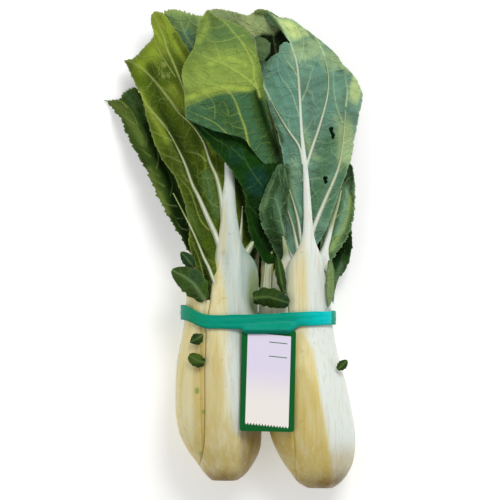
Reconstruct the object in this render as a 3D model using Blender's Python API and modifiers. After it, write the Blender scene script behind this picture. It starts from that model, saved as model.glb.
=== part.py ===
"""Pak choi bunch: two heads lying on their backs, held by a flat band with a card tag.

The butts point to -Y, the leaf tips to +Y and the front of the bunch to +Z.
The origin is the middle of the bunch on the surface that it lies on.
"""

import math

import bmesh
import bpy
import numpy as np

# Front drawing: steps across and down, with the origin at MIDDLE
UNIT = 0.000686
MIDDLE_ACROSS = 232.6
MIDDLE_DOWN = 248.0
MM = 0.001

# Leaves
BLADE_THICKNESS = 0.0009
BLADE_GAP = 0.0006
SEAM_GAP = 0.00025
RIB_PROFILE = ((-1.0, 0.0), (-0.62, 0.74), (0.0, 1.0), (0.62, 0.74), (1.0, 0.0))

# Tie band and tag
BAND_HEIGHT = 0.0096
BAND_THICKNESS = 0.0009
BAND_GAP = 0.0007
BAND_SIDES = 44
NECK = (
    (319.0, 242.0, 294.0, 53.95, 51.40, 0.45),
    (324.0, 243.0, 293.0, 54.35, 52.90, 0.70),
    (328.0, 244.0, 292.0, 55.85, 55.75, 0.70),
    (337.0, 246.0, 291.0, 56.20, 56.10, 0.70),
)
TAG_THICKNESS = 0.0008
TAG_WIDTH = 0.0370
TAG_LENGTH = 0.0690
TAG_CORNER = 0.0016
TAG_HEIGHT = 0.0570
TAG_SLOPE = math.radians(3.4)
TAG_TURN = math.radians(1.2)

# Cut butts
CROWN_RADIUS = 0.0055
CROWN_LENGTH = 0.0130

# Each head: down, across, height of the axis, radius and stalk thickness in millimetres
LEFT_HEAD = (
    (481.0, 224.5, 29.0, 9.0, 3.0),
    (475.0, 225.5, 28.6, 14.0, 4.2),
    (464.0, 225.5, 28.2, 19.5, 5.5),
    (449.0, 223.5, 27.2, 25.6, 6.8),
    (430.0, 220.0, 27.6, 29.0, 7.2),
    (405.0, 218.5, 28.6, 30.0, 7.0),
    (363.0, 218.0, 28.8, 28.6, 6.2),
    (334.0, 220.5, 28.4, 26.4, 5.4),
    (300.0, 222.0, 28.0, 24.8, 5.0),
)
RIGHT_HEAD = (
    (488.5, 320.5, 29.0, 9.2, 3.0),
    (483.0, 320.0, 28.8, 15.0, 4.4),
    (474.0, 320.0, 28.4, 19.8, 5.6),
    (460.0, 318.0, 28.0, 25.2, 6.8),
    (437.0, 313.5, 28.3, 29.5, 7.2),
    (410.0, 309.5, 28.4, 29.6, 7.0),
    (382.0, 306.0, 28.5, 27.8, 6.2),
    (353.0, 302.5, 28.4, 24.6, 5.4),
    (326.0, 302.0, 28.2, 21.6, 5.0),
    (300.0, 301.0, 28.0, 20.6, 4.8),
)


def clear_scene():
    """Remove every object."""
    for item in list(bpy.data.objects):
        bpy.data.objects.remove(item, do_unlink=True)


def new_collection(name):
    """Add a collection to the scene."""
    collection = bpy.data.collections.new(name)
    bpy.context.scene.collection.children.link(collection)
    return collection


def new_material(name, colour, roughness):
    """Make a Principled material."""
    material = bpy.data.materials.new(name)
    material.use_nodes = True
    shader = material.node_tree.nodes["Principled BSDF"]
    shader.inputs["Base Color"].default_value = (*colour, 1.0)
    shader.inputs["Roughness"].default_value = roughness
    shader.inputs["Metallic"].default_value = 0.0
    return material


def add_object(name, mesh, collection, material):
    """Link a mesh as an object with its own material."""
    item = bpy.data.objects.new(name, mesh)
    mesh.materials.append(material)
    collection.objects.link(item)
    return item


def front(across, down):
    """Turn a place on the front drawing into X and Y in metres."""
    x = (np.asarray(across, dtype=float) - MIDDLE_ACROSS) * UNIT
    y = (MIDDLE_DOWN - np.asarray(down, dtype=float)) * UNIT
    return x, y


def ease(value):
    """Smooth step from 0 to 1."""
    t = np.clip(value, 0.0, 1.0)
    return t * t * (3.0 - 2.0 * t)


def smooth_path(points, count):
    """Run a rounded path through the points and read it at even steps."""
    points = np.asarray(points, dtype=float)
    padded = np.vstack([2 * points[0] - points[1], points, 2 * points[-1] - points[-2]])
    steps = np.linspace(0.0, 1.0, 12, endpoint=False)[:, None]
    runs = []
    for i in range(len(points) - 1):
        p0, p1, p2, p3 = padded[i:i + 4]
        runs.append(0.5 * (2 * p1 + (p2 - p0) * steps + (2 * p0 - 5 * p1 + 4 * p2 - p3) * steps ** 2
                           + (3 * p1 - p0 - 3 * p2 + p3) * steps ** 3))
    curve = np.vstack(runs + [points[-1:]])
    along = np.concatenate([[0.0], np.cumsum(np.linalg.norm(np.diff(curve[:, :2], axis=0), axis=1))])
    even = np.linspace(0.0, along[-1], count)
    return np.column_stack([np.interp(even, along, curve[:, k]) for k in range(curve.shape[1])])


# Heights of the leaves' faces above the surface, in millimetres


def arch(across, middle, left, right):
    """Fall away from a middle line, at its own rate on each side."""
    offset = across - middle
    return np.where(offset < 0.0, left, right) * offset ** 2


def tip_fall(down, start, drop):
    """Fall toward the leaf tips above a line of the drawing."""
    return drop * (np.clip(start - down, 0.0, None) / start) ** 2


def left_front_height(across, down):
    return 42.0 - arch(across, 225.0, 0.0021, 0.0050) - tip_fall(down, 200.0, 8.0)


def left_outer_height(across, down):
    droop = 3.0 * ease((125.0 - across) / 25.0)
    return 32.6 - arch(across, 225.0, 0.0018, 0.0) - tip_fall(down, 200.0, 6.0) - droop


def left_back_height(across, down):
    return 12.6 + 6.5 * ease((290.0 - down) / 280.0) - arch(across, 200.0, 0.0010, 0.0010)


def left_far_height(across, down):
    return 19.0 + 22.0 * ease((300.0 - down) / 290.0) - arch(across, 250.0, 0.0018, 0.0020)


def centre_height(across, down):
    ridge = 62.0 - 0.11 * (np.sqrt((down - 92.0) ** 2 + 260.0) - 16.0)
    return ridge - arch(across, 222.0, 0.0042, 0.0062)


def fold_height(across, down):
    return 51.5 - arch(across, 228.0, 0.0030, 0.0060) - 7.0 * ease((down - 168.0) / 85.0)


def right_front_height(across, down):
    rise = 6.0 * ease((240.0 - down) / 140.0) - 2.6 * ease((down - 222.0) / 26.0)
    return 43.6 + rise - tip_fall(down, 90.0, 5.0) - arch(across, 306.0, 0.0018, 0.0070)


def right_left_height(across, down):
    return 31.6 - arch(across, 290.0, 0.0012, 0.0) + 16.0 * ease((262.0 - down) / 40.0)


def right_right_height(across, down):
    return 30.8 - arch(across, 318.0, 0.0, 0.0085) + 4.5 * ease((255.0 - down) / 80.0)


def right_back_height(across, down):
    bend = arch(across, 310.0, 0.0010, -0.0030)
    return 12.6 - 10.4 * ease((255.0 - down) / 200.0) - bend * ease((down - 120.0) / 120.0)


def coons_patch(left, right, base, top, columns, rows):
    """Fill four edge curves with a grid: rows run base to top, columns left to right."""
    left, right = smooth_path(left, rows), smooth_path(right, rows)
    base, top = smooth_path(base, columns), smooth_path(top, columns)
    u = np.linspace(0.0, 1.0, columns)[None, :, None]
    v = np.linspace(0.0, 1.0, rows)[:, None, None]
    sides = (1 - u) * left[:, None] + u * right[:, None]
    ends = (1 - v) * base[None] + v * top[None]
    corners = ((1 - u) * (1 - v) * base[0] + u * (1 - v) * base[-1]
               + (1 - u) * v * top[0] + u * v * top[-1])
    return sides + ends - corners


def grid_mesh(name, x, y, z):
    """Make a triangulated open surface, facing up, from a grid of points."""
    rows, columns = x.shape
    body = bmesh.new()
    verts = [body.verts.new(point) for point in zip(x.ravel(), y.ravel(), z.ravel())]
    for i in range(rows - 1):
        for j in range(columns - 1):
            a = i * columns + j
            body.faces.new((verts[a], verts[a + 1], verts[a + columns + 1], verts[a + columns]))
    bmesh.ops.triangulate(body, faces=body.faces[:], quad_method="SHORT_EDGE")
    mesh = bpy.data.meshes.new(name)
    body.to_mesh(mesh)
    body.free()
    if sum(face.normal.z for face in mesh.polygons) < 0.0:
        mesh.flip_normals()
    return mesh


def make_blade(name, collection, material, outline, height, size, wave):
    """Make a leaf blade: an arched sheet with waved side edges and tip.

    The outline gives the left, right, base and top edges on the front drawing.
    The wave is its depth in millimetres and its count along a side.
    """
    columns, rows = size
    depth, count = wave
    grid = coons_patch(*outline, columns, rows)
    across, down = grid[..., 0], grid[..., 1]
    u = np.linspace(0.0, 1.0, columns)[None, :]
    v = np.linspace(0.0, 1.0, rows)[:, None]
    edge = np.abs(2 * u - 1) ** 5 * ease(v / 0.2)
    side = np.where(u < 0.5, 0.0, 1.9)
    ripple = depth * edge * np.sin(2 * math.pi * count * v + side)
    ripple = ripple + 0.6 * depth * v ** 8 * np.sin(2 * math.pi * count * 0.7 * u + 0.8)
    x, y = front(across, down)
    z = (height(across, down) + ripple) * MM
    item = add_object(name, grid_mesh(name, x, y, z), collection, material)
    shell = item.modifiers.new("Thickness", "SOLIDIFY")
    shell.thickness = BLADE_THICKNESS
    shell.offset = -1.0
    item.data.shade_smooth()
    return item


def loft(name, rings):
    """Join rings of points into one closed body with flat ends."""
    body = bmesh.new()
    loops = [[body.verts.new(point) for point in ring] for ring in rings]
    count = len(loops[0])
    for lower, upper in zip(loops, loops[1:]):
        for k in range(count):
            following = (k + 1) % count
            body.faces.new((lower[k], lower[following], upper[following], upper[k]))
    body.faces.new(loops[0][::-1])
    body.faces.new(loops[-1])
    bmesh.ops.triangulate(body, faces=body.faces[:], quad_method="SHORT_EDGE")
    bmesh.ops.recalc_face_normals(body, faces=body.faces[:])
    mesh = bpy.data.meshes.new(name)
    body.to_mesh(mesh)
    body.free()
    return mesh


def sector_ring(station, keel, outer_count, inner_count):
    """Section of a stalk: part of a thick ring, thinner toward its two edges.

    The station is down, across, axis height, radius, start angle, end angle and thickness.
    Angles turn from the front toward the right. The keel is an angle and a rise.
    """
    down, across, axis, radius, start, end, thickness = station
    inset = math.degrees(SEAM_GAP / MM / max(radius - thickness, 2.0))
    start, end = start + inset, end - inset
    s = np.linspace(-1.0, 1.0, outer_count)
    angle = np.radians(start + (end - start) * (s + 1) / 2)
    rounding = 1.0 - 0.035 * s ** 4
    lift = keel[1] * np.exp(-((np.degrees(angle) - keel[0]) / 16.0) ** 2)
    reach = radius * rounding + lift
    s_in = np.linspace(0.96, -0.96, inner_count)
    angle_in = np.radians(start + (end - start) * (s_in + 1) / 2)
    reach_in = radius - thickness * (1.0 - 0.35 * s_in ** 4)
    angles = np.concatenate([angle, angle_in])
    reaches = np.concatenate([reach, reach_in])
    x0, y0 = front(across, down)
    x = x0 + reaches * np.sin(angles) * MM
    z = np.maximum(axis + reaches * np.cos(angles), 0.0) * MM
    return [(px, float(y0), pz) for px, pz in zip(x, z)]


def stalk_mesh(name, head, sector, upper, keel=(0.0, 0.0), inset=0.0, counts=(7, 4)):
    """Make a stalk: a sector of the head that narrows to a rib above the band."""
    stations = [(down, across, axis, radius - inset, *sector, thickness)
                for down, across, axis, radius, thickness in head]
    stations += list(upper)
    rings = []
    for station in stations:
        strength = float(ease((station[0] - 340.0) / 50.0))
        rings.append(sector_ring(station, (keel[0], keel[1] * strength), *counts))
    return loft(name, rings)


def rib_mesh(name, points, height, width, depth, under=False):
    """Make a rib that lies along a blade and thins toward its end.

    Width and depth are pairs in millimetres, for the root and for the end.
    """
    path = smooth_path(points, max(5, 2 * len(points)))
    tangent = np.gradient(path, axis=0)
    tangent /= np.linalg.norm(tangent, axis=1)[:, None]
    share = np.linspace(0.0, 1.0, len(path))
    half = (width[0] + (width[1] - width[0]) * share) / 2 / (UNIT / MM)
    rise = depth[0] + (depth[1] - depth[0]) * share
    rings = []
    for k, (across, down) in enumerate(path):
        ring = []
        for side, level in RIB_PROFILE:
            place_a = across - tangent[k, 1] * half[k] * side
            place_d = down + tangent[k, 0] * half[k] * side
            base = float(height(place_a, place_d))
            if under:
                z = base - (BLADE_THICKNESS + BLADE_GAP) / MM - level * rise[k]
            else:
                z = base + BLADE_GAP / MM + level * rise[k]
            x, y = front(place_a, place_d)
            ring.append((float(x), float(y), max(z, 0.0) * MM))
        rings.append(ring)
    return loft(name, rings)


def join_by_union(name, meshes, collection, material):
    """Fuse meshes into one object with a union on a collection."""
    item = add_object(name, meshes[0], collection, material)
    if len(meshes) > 1:
        extras = new_collection(name + "_ribs")
        for k, mesh in enumerate(meshes[1:]):
            extras.objects.link(bpy.data.objects.new(f"{name}_rib_{k}", mesh))
        union = item.modifiers.new("Union", "BOOLEAN")
        union.operation = "UNION"
        union.operand_type = "COLLECTION"
        union.collection = extras
        union.solver = "MANIFOLD"
        fused = evaluated_mesh(item)
        item.modifiers.clear()
        item.data = fused
        for extra in list(extras.objects):
            bpy.data.objects.remove(extra, do_unlink=True)
        bpy.data.collections.remove(extras)
    item.data.shade_smooth()
    item.data.set_sharp_from_angle(angle=math.radians(50.0))
    return item


def evaluated_mesh(item):
    """Read an object's mesh with its modifiers applied."""
    bpy.context.view_layer.update()
    graph = bpy.context.evaluated_depsgraph_get()
    return bpy.data.meshes.new_from_object(item.evaluated_get(graph))


def cut_by_outline(item, name, outline, low, high, cutters):
    """Cut a blade with an upright prism drawn on the front."""
    places = [front(across, down) for across, down in outline]
    rings = [[(float(x), float(y), z) for x, y in places] for z in (low, high)]
    cutter = bpy.data.objects.new(name, loft(name, rings))
    cutters.objects.link(cutter)
    cutter.hide_render = True
    cutter.display_type = "WIRE"
    cut = item.modifiers.new(name, "BOOLEAN")
    cut.operation = "DIFFERENCE"
    cut.object = cutter
    cut.solver = "MANIFOLD"


# The two heads' stalks


def make_left_stalks(collection, material):
    """Stalks of the left head, from the front round to the back."""
    meshes = [stalk_mesh("left_front_stalk", LEFT_HEAD, (-19.0, 95.0), (
        (267.0, 233.0, 30.8, 19.5, -45.0, 62.0, 4.6),
        (243.0, 232.0, 39.0, 11.0, -70.0, 70.0, 4.5),
        (219.0, 232.5, 43.0, 7.0, -86.0, 86.0, 6.0),
        (196.0, 231.5, 43.2, 4.6, -86.0, 86.0, 4.0),
    ), keel=(30.0, 1.2), counts=(9, 5))]
    meshes.append(rib_mesh("main_rib", ((232, 232), (232, 205), (230, 175), (228, 140)),
                           left_front_height, (12.0, 5.0), (6.6, 3.0)))
    meshes.append(rib_mesh("short_rib", ((240, 262), (248, 248), (254, 234)),
                           left_front_height, (4.0, 2.0), (2.4, 0.9)))
    meshes.append(rib_mesh("side_rib", ((229, 238), (221, 226), (219, 200), (215, 168), (205, 146),
                                 (190, 124), (172, 100), (155, 76), (136, 61)),
                           left_front_height, (5.0, 1.4), (3.2, 0.8)))
    meshes.append(rib_mesh("side_rib", ((226, 254), (219, 240), (206, 215), (194, 188), (186, 165),
                                 (171, 134), (158, 119), (144, 106)),
                           left_front_height, (5.0, 1.4), (3.0, 0.8)))
    join_by_union("left_front_stalk", meshes, collection, material)

    meshes = [stalk_mesh("left_outer_stalk", LEFT_HEAD, (-95.0, -28.5), (
        (275.0, 205.0, 30.5, 14.5, -115.0, -22.0, 4.4),
        (250.0, 195.5, 32.5, 5.0, -90.0, 60.0, 4.2),
        (225.0, 187.5, 32.0, 3.2, -86.0, 86.0, 2.8),
    ))]
    meshes.append(rib_mesh("main_rib", ((190, 234), (180, 212), (165, 190), (152, 160),
                                        (140, 130), (126, 103)),
                           left_outer_height, (4.4, 1.4), (2.6, 0.9)))
    join_by_union("left_outer_stalk", meshes, collection, material)

    meshes = [stalk_mesh("left_slip_stalk", LEFT_HEAD[1:], (-27.5, -20.0), (), inset=1.6,
                         counts=(3, 2))]
    join_by_union("left_slip_stalk", meshes, collection, material)

    meshes = [stalk_mesh("left_back_stalk", LEFT_HEAD, (152.0, 263.0), (
        (262.0, 208.0, 16.5, 12.5, 150.0, 228.0, 4.2),
        (235.0, 205.0, 10.5, 6.0, 100.0, 260.0, 4.6),
    ), counts=(9, 5))]
    meshes.append(rib_mesh("main_rib", ((205.5, 246), (204, 215), (200, 180), (192, 130),
                                        (184, 85), (179, 50)),
                           left_back_height, (8.0, 1.8), (4.6, 1.0), under=True))
    join_by_union("left_back_stalk", meshes, collection, material)

    meshes = [stalk_mesh("left_far_stalk", LEFT_HEAD, (97.0, 150.0), (
        (262.0, 244.0, 19.5, 11.5, 110.0, 180.0, 4.2),
        (235.0, 249.0, 18.2, 5.5, 100.0, 260.0, 4.4),
    ), counts=(6, 4))]
    meshes.append(rib_mesh("main_rib", ((248.5, 246), (249, 215), (251, 180), (253, 130),
                                        (254, 85)),
                           left_far_height, (7.0, 1.8), (4.4, 1.0), under=True))
    join_by_union("left_far_stalk", meshes, collection, material)


def make_right_stalks(collection, material):
    """Stalks of the right head, from the front round to the back."""
    meshes = [stalk_mesh("right_front_stalk", RIGHT_HEAD, (-27.0, 57.0), (
        (268.0, 306.0, 33.5, 15.5, -62.0, 55.0, 4.6),
        (243.0, 307.0, 41.0, 9.0, -75.0, 72.0, 4.6),
        (222.0, 305.0, 44.4, 6.0, -86.0, 86.0, 5.0),
        (195.0, 303.5, 45.4, 3.8, -86.0, 86.0, 3.4),
    ), keel=(24.0, 1.2), counts=(8, 5))]
    meshes.append(rib_mesh("side_rib", ((305.5, 234), (303.5, 200), (302, 170), (300, 130), (298, 85),
                                 (296, 62), (292, 48)),
                           right_front_height, (10.0, 2.0), (5.8, 1.2)))
    meshes.append(rib_mesh("left_rib", ((304, 240), (298, 220), (292, 201)),
                           right_front_height, (3.6, 1.6), (2.4, 0.9)))
    meshes.append(rib_mesh("side_rib", ((303, 165), (300, 150), (288, 126), (276, 104), (267, 86)),
                           right_front_height, (3.6, 1.4), (2.4, 0.9)))
    meshes.append(rib_mesh("side_rib", ((303, 182), (306, 162), (312, 140), (320, 118), (326, 92),
                                 (327, 70), (322, 54)),
                           right_front_height, (4.2, 1.4), (2.8, 0.9)))
    meshes.append(rib_mesh("side_rib", ((308, 246), (313, 229), (325, 195), (338, 160), (343, 130),
                                 (347, 98)),
                           right_front_height, (4.8, 1.6), (3.2, 1.0)))
    join_by_union("right_front_stalk", meshes, collection, material)

    meshes = [stalk_mesh("right_left_stalk", RIGHT_HEAD, (-95.0, -29.0), (
        (275.0, 286.0, 29.5, 9.5, -110.0, -20.0, 3.8),
        (255.0, 283.5, 33.6, 3.6, -86.0, 86.0, 3.2),
        (246.0, 283.2, 38.2, 2.8, -86.0, 86.0, 2.4),
    ), counts=(6, 4))]
    meshes.append(rib_mesh("main_rib", ((283, 250), (281, 232), (278, 212), (275, 194)),
                           right_left_height, (4.6, 1.6), (3.0, 1.0)))
    join_by_union("right_left_stalk", meshes, collection, material)

    meshes = [stalk_mesh("right_right_stalk", RIGHT_HEAD, (59.0, 135.0), (
        (275.0, 315.0, 28.0, 12.0, 50.0, 110.0, 4.0),
        (252.0, 324.0, 32.2, 4.4, -60.0, 86.0, 3.8),
        (238.0, 328.0, 32.6, 3.0, -86.0, 86.0, 2.6),
    ), counts=(6, 4))]
    meshes.append(rib_mesh("main_rib", ((327, 243), (332, 226), (338, 205), (342, 186)),
                           right_right_height, (4.2, 1.6), (2.8, 1.0)))
    join_by_union("right_right_stalk", meshes, collection, material)

    meshes = [stalk_mesh("right_back_stalk", RIGHT_HEAD, (137.0, 215.0), (
        (262.0, 306.0, 20.0, 15.0, 150.0, 210.0, 4.2),
        (235.0, 308.0, 9.0, 6.5, 105.0, 255.0, 4.8),
    ), counts=(8, 4))]
    meshes.append(rib_mesh("main_rib", ((308, 246), (308, 215), (309, 180), (311, 130),
                                        (313, 92)),
                           right_back_height, (8.0, 2.0), (4.4, 0.9), under=True))
    join_by_union("right_back_stalk", meshes, collection, material)

    meshes = [stalk_mesh("centre_stalk", RIGHT_HEAD, (217.0, 263.0), (
        (275.0, 280.0, 24.0, 13.0, 205.0, 285.0, 4.6),
        (245.0, 272.0, 25.0, 6.0, 160.0, 300.0, 4.8),
        (200.0, 268.0, 32.0, 4.5, 140.0, 300.0, 4.0),
        (150.0, 266.0, 38.0, 3.0, 110.0, 290.0, 2.8),
    ), counts=(6, 4))]
    join_by_union("centre_stalk", meshes, collection, material)


# Blades: left, right, base and top edges on the front drawing


def make_left_blades(collection, materials):
    """Blades of the left head."""
    make_blade("left_front_blade", collection, materials["left_front"], (
        ((218, 262), (203, 252), (189, 220), (177, 182), (160, 156), (149, 128), (141, 97),
         (132, 78), (123.5, 58.5)),
        ((242, 262), (253, 240), (256, 226), (252, 195), (246, 160), (234, 118), (210, 82),
         (190, 52), (176, 30), (162, 11)),
        ((218, 262), (230, 264), (242, 262)),
        ((123.5, 58.5), (133, 56), (144, 45), (153, 34), (150, 19), (153, 10.5), (162, 11)),
    ), left_front_height, (11, 17), (1.3, 5.0))

    make_blade("left_outer_blade", collection, materials["left_outer"], (
        ((189, 253), (181, 238), (170, 220), (157, 196), (146, 171), (127, 137), (119, 117),
         (103, 98.5)),
        ((197, 253), (195, 230), (184, 190), (167, 150), (150, 112), (140, 92), (132, 85.5)),
        ((189, 253), (193, 254), (197, 253)),
        ((103, 98.5), (118, 97), (122, 91), (132, 85.5)),
    ), left_outer_height, (8, 13), (1.1, 5.0))

    make_blade("left_back_blade", collection, materials["left_back"], (
        ((200, 256), (192, 230), (184, 190), (176, 140), (168, 90), (162, 45), (163, 9)),
        ((212, 256), (222, 230), (226, 190), (224, 140), (220, 90), (216, 50), (210, 15)),
        ((200, 256), (206, 258), (212, 256)),
        ((163, 9), (172, 7), (182, 9), (195, 13), (210, 15)),
    ), left_back_height, (8, 12), (1.0, 4.0))

    make_blade("left_far_blade", collection, materials["left_far"], (
        ((244, 260), (236, 240), (230, 200), (223, 150), (213, 100), (206, 60), (203, 30),
         (206, 10.5)),
        ((255, 260), (260, 240), (263, 220), (273, 190), (282, 150), (287, 100), (290, 62),
         (287, 42), (271, 12)),
        ((244, 260), (250, 262), (255, 260)),
        ((206, 10.5), (217, 8.6), (233, 11.5), (248, 15), (256, 10), (262, 9), (271, 12)),
    ), left_far_height, (9, 13), (1.1, 4.0))

    make_blade("centre_fold_blade", collection, materials["centre_fold"], (
        ((264, 262), (252, 240), (246, 215), (244, 193), (231, 170), (216, 153), (203, 137),
         (191, 122)),
        ((278, 262), (273, 245), (269, 225), (267, 205), (268, 186), (264, 166), (240, 140),
         (206, 117)),
        ((264, 262), (271, 264), (278, 262)),
        ((191, 122), (198, 118), (206, 117)),
    ), fold_height, (7, 12), (0.8, 6.0))

    make_blade("centre_blade", collection, materials["centre"], (
        ((186, 119), (184, 90), (182.5, 70), (194, 48), (197, 33), (201, 20), (208, 11)),
        ((278, 161), (270, 138), (263, 114), (258.5, 92), (257, 75), (256, 60), (253, 40)),
        ((186, 119), (198, 125), (213, 131), (228, 135), (244, 140), (256, 155), (267, 165),
         (278, 161)),
        ((208, 11), (219, 19), (231, 23), (243, 29), (253, 40)),
    ), centre_height, (11, 12), (0.9, 4.0))


def make_right_blades(collection, materials, cutters):
    """Blades of the right head."""
    front_blade = make_blade("right_front_blade", collection, materials["right_front"], (
        ((300, 250), (296, 232), (290, 198), (285, 168), (278, 140), (270, 113), (263, 90),
         (260, 70), (258, 50), (258, 30), (268.5, 10)),
        ((314, 250), (325, 232), (334, 208), (342, 186), (351, 160), (355.5, 135), (361, 108),
         (363, 92), (354, 75), (343, 64), (334, 52), (315, 37)),
        ((300, 250), (307, 252), (314, 250)),
        ((268.5, 10), (277, 17), (290, 19), (302, 27), (315, 37)),
    ), right_front_height, (13, 18), (1.2, 5.0))
    cut_by_outline(front_blade, "torn_notch", (
        (248, 28), (256, 40), (264, 46), (271, 59), (279, 49), (285, 42), (288, 44), (281, 31),
        (271, 17), (265, 5), (250, 8)), 0.03, 0.07, cutters)
    cut_by_outline(front_blade, "upper_hole", (
        (329.5, 129), (333, 128), (334, 134), (331.5, 138)), 0.03, 0.07, cutters)
    cut_by_outline(front_blade, "lower_hole", (
        (323.5, 178), (327, 177), (327.5, 181.5), (324.5, 183)), 0.03, 0.07, cutters)

    make_blade("right_left_blade", collection, materials["right_left"], (
        ((277, 257), (269, 244), (260, 226), (258, 211), (262, 191), (270, 170)),
        ((288, 257), (290, 240), (289.5, 215), (287, 192), (284, 168)),
        ((277, 257), (282.5, 258), (288, 257)),
        ((270, 170), (277, 164), (284, 168)),
    ), right_left_height, (7, 11), (1.6, 3.5))

    make_blade("right_right_blade", collection, materials["right_right"], (
        ((320, 255), (321, 240), (326, 220), (333, 198), (338, 178), (343, 162)),
        ((331, 258), (345, 252), (352, 240), (353.5, 222), (356, 195), (354, 168)),
        ((320, 255), (326, 257), (331, 258)),
        ((343, 162), (349, 161), (354, 168)),
    ), right_right_height, (7, 10), (1.5, 3.5))

    make_blade("right_back_blade", collection, materials["right_back"], (
        ((300, 254), (288, 232), (280, 200), (277, 150), (278, 100), (288, 58)),
        ((334, 305), (337, 285), (346, 270), (352, 254), (353, 238), (350, 200), (350, 150),
         (350, 105), (338, 66)),
        ((300, 254), (314, 256), (323, 263), (328, 282), (334, 305)),
        ((288, 58), (314, 47), (338, 66)),
    ), right_back_height, (9, 14), (1.0, 5.0))


# Small leaves and torn lobes


def make_small_blade(name, collection, material, spine, half_width, height, wave):
    """Make a small pointed leaf along a spine, arched across and waved along its edges."""
    rows = 8
    path = smooth_path(spine, rows)
    tangent = np.gradient(path, axis=0)
    tangent /= np.linalg.norm(tangent, axis=1)[:, None]
    v = np.linspace(0.0, 1.0, rows)
    spread = half_width * np.sin(math.pi * (0.08 + 0.86 * v)) ** 0.7
    s = np.linspace(-1.0, 1.0, 5)[None, :]
    across = path[:, None, 0] - tangent[:, None, 1] * spread[:, None] * s
    down = path[:, None, 1] + tangent[:, None, 0] * spread[:, None] * s
    z = height(across, down) - wave[0] * s ** 2 + 0.4 * np.abs(s) * np.sin(v[:, None] * wave[1])
    x, y = front(across, down)
    item = add_object(name, grid_mesh(name, x, y, z * MM), collection, material)
    shell = item.modifiers.new("Thickness", "SOLIDIFY")
    shell.thickness = BLADE_THICKNESS
    shell.offset = -1.0
    item.data.shade_smooth()


def slope(level, across_0, down_0, per_across, per_down):
    """Height of a plane that tilts across and down the drawing."""
    def height(across, down):
        return level + per_across * (across - across_0) + per_down * (down - down_0)
    return height


def make_small_leaves(collection, material):
    """Small leaves that stand off the stalks."""
    make_small_blade("left_notch_leaf", collection, material,
                     ((203, 338), (197, 339), (190, 336)), 5.0,
                     slope(57.6, 201, 338, 0.45, 0.0), (0.8, 6.0))
    make_small_blade("left_round_leaf", collection, material,
                     ((204, 353), (197, 358), (188, 360)), 6.5,
                     slope(60.4, 203, 356, 0.45, 0.0), (0.8, 7.0))
    make_small_blade("left_lobe_leaf", collection, material,
                     ((205, 300), (192, 282), (172, 270)), 13.0,
                     slope(54.5, 204, 297, 0.28, 0.0), (2.4, 8.0))
    make_small_blade("left_curl_leaf", collection, material,
                     ((194, 268), (188, 260), (181, 252)), 5.5,
                     slope(45.5, 192, 262, 0.3, 0.0), (1.6, 8.0))
    make_small_blade("middle_back_leaf", collection, material,
                     ((267, 308), (270, 270), (267, 215)), 13.0,
                     slope(9.5, 266, 270, 0.0, 0.0), (-0.8, 5.0))
    make_small_blade("right_lobe_leaf", collection, material,
                     ((285, 296), (281, 280), (280, 262)), 5.0,
                     slope(47.0, 282, 280, 0.25, 0.03), (1.2, 6.0))
    make_small_blade("middle_curl_leaf", collection, material,
                     ((256, 304), (271, 299), (288, 303)), 6.5,
                     slope(52.5, 270, 300, 0.02, 0.0), (2.4, 9.0))
    make_small_blade("right_notch_leaf", collection, material,
                     ((337, 369), (343, 364), (347, 360)), 4.5,
                     slope(47.5, 342, 364, -0.5, 0.0), (0.8, 6.0))
    make_small_blade("right_rolled_leaf", collection, material,
                     ((330, 262), (331, 285), (328, 306)), 4.8,
                     slope(45.5, 330, 285, -0.3, 0.02), (2.6, 4.0))


# Cut butts, band and tag


def make_crown(name, head, collection, material):
    """Make the cut butt that the stalks of a head stand round."""
    mesh = bpy.data.meshes.new(name)
    body = bmesh.new()
    bmesh.ops.create_cone(body, cap_ends=True, segments=20, radius1=CROWN_RADIUS,
                          radius2=CROWN_RADIUS * 0.45, depth=CROWN_LENGTH)
    body.to_mesh(mesh)
    body.free()
    item = add_object(name, mesh, collection, material)
    down, across, axis = head[0][:3]
    x, y = front(across, down)
    item.location = (float(x), float(y) + CROWN_LENGTH / 2, axis * MM)
    item.rotation_euler = (-math.pi / 2, 0.0, 0.0)
    mesh.shade_smooth()
    mesh.set_sharp_from_angle(angle=math.radians(40.0))


def band_outline():
    """Line of a tight band round both heads, as X and Z, front first."""
    left_x = float(front(221.0, 320.0)[0])
    right_x = float(front(302.0, 320.0)[0])
    rounds = ((left_x, 0.0282, 0.0262), (right_x, 0.0282, 0.0218))
    turn = np.linspace(0.0, 2 * math.pi, BAND_SIDES, endpoint=False)
    reach = np.max([x * np.sin(turn) + z * np.cos(turn) + r for x, z, r in rounds], axis=0)
    slope_of = np.gradient(np.concatenate([reach[-1:], reach, reach[:1]]), turn[1] - turn[0])[1:-1]
    line_x = reach * np.sin(turn) + slope_of * np.cos(turn)
    line_z = reach * np.cos(turn) - slope_of * np.sin(turn)
    return turn, line_x, line_z


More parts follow.
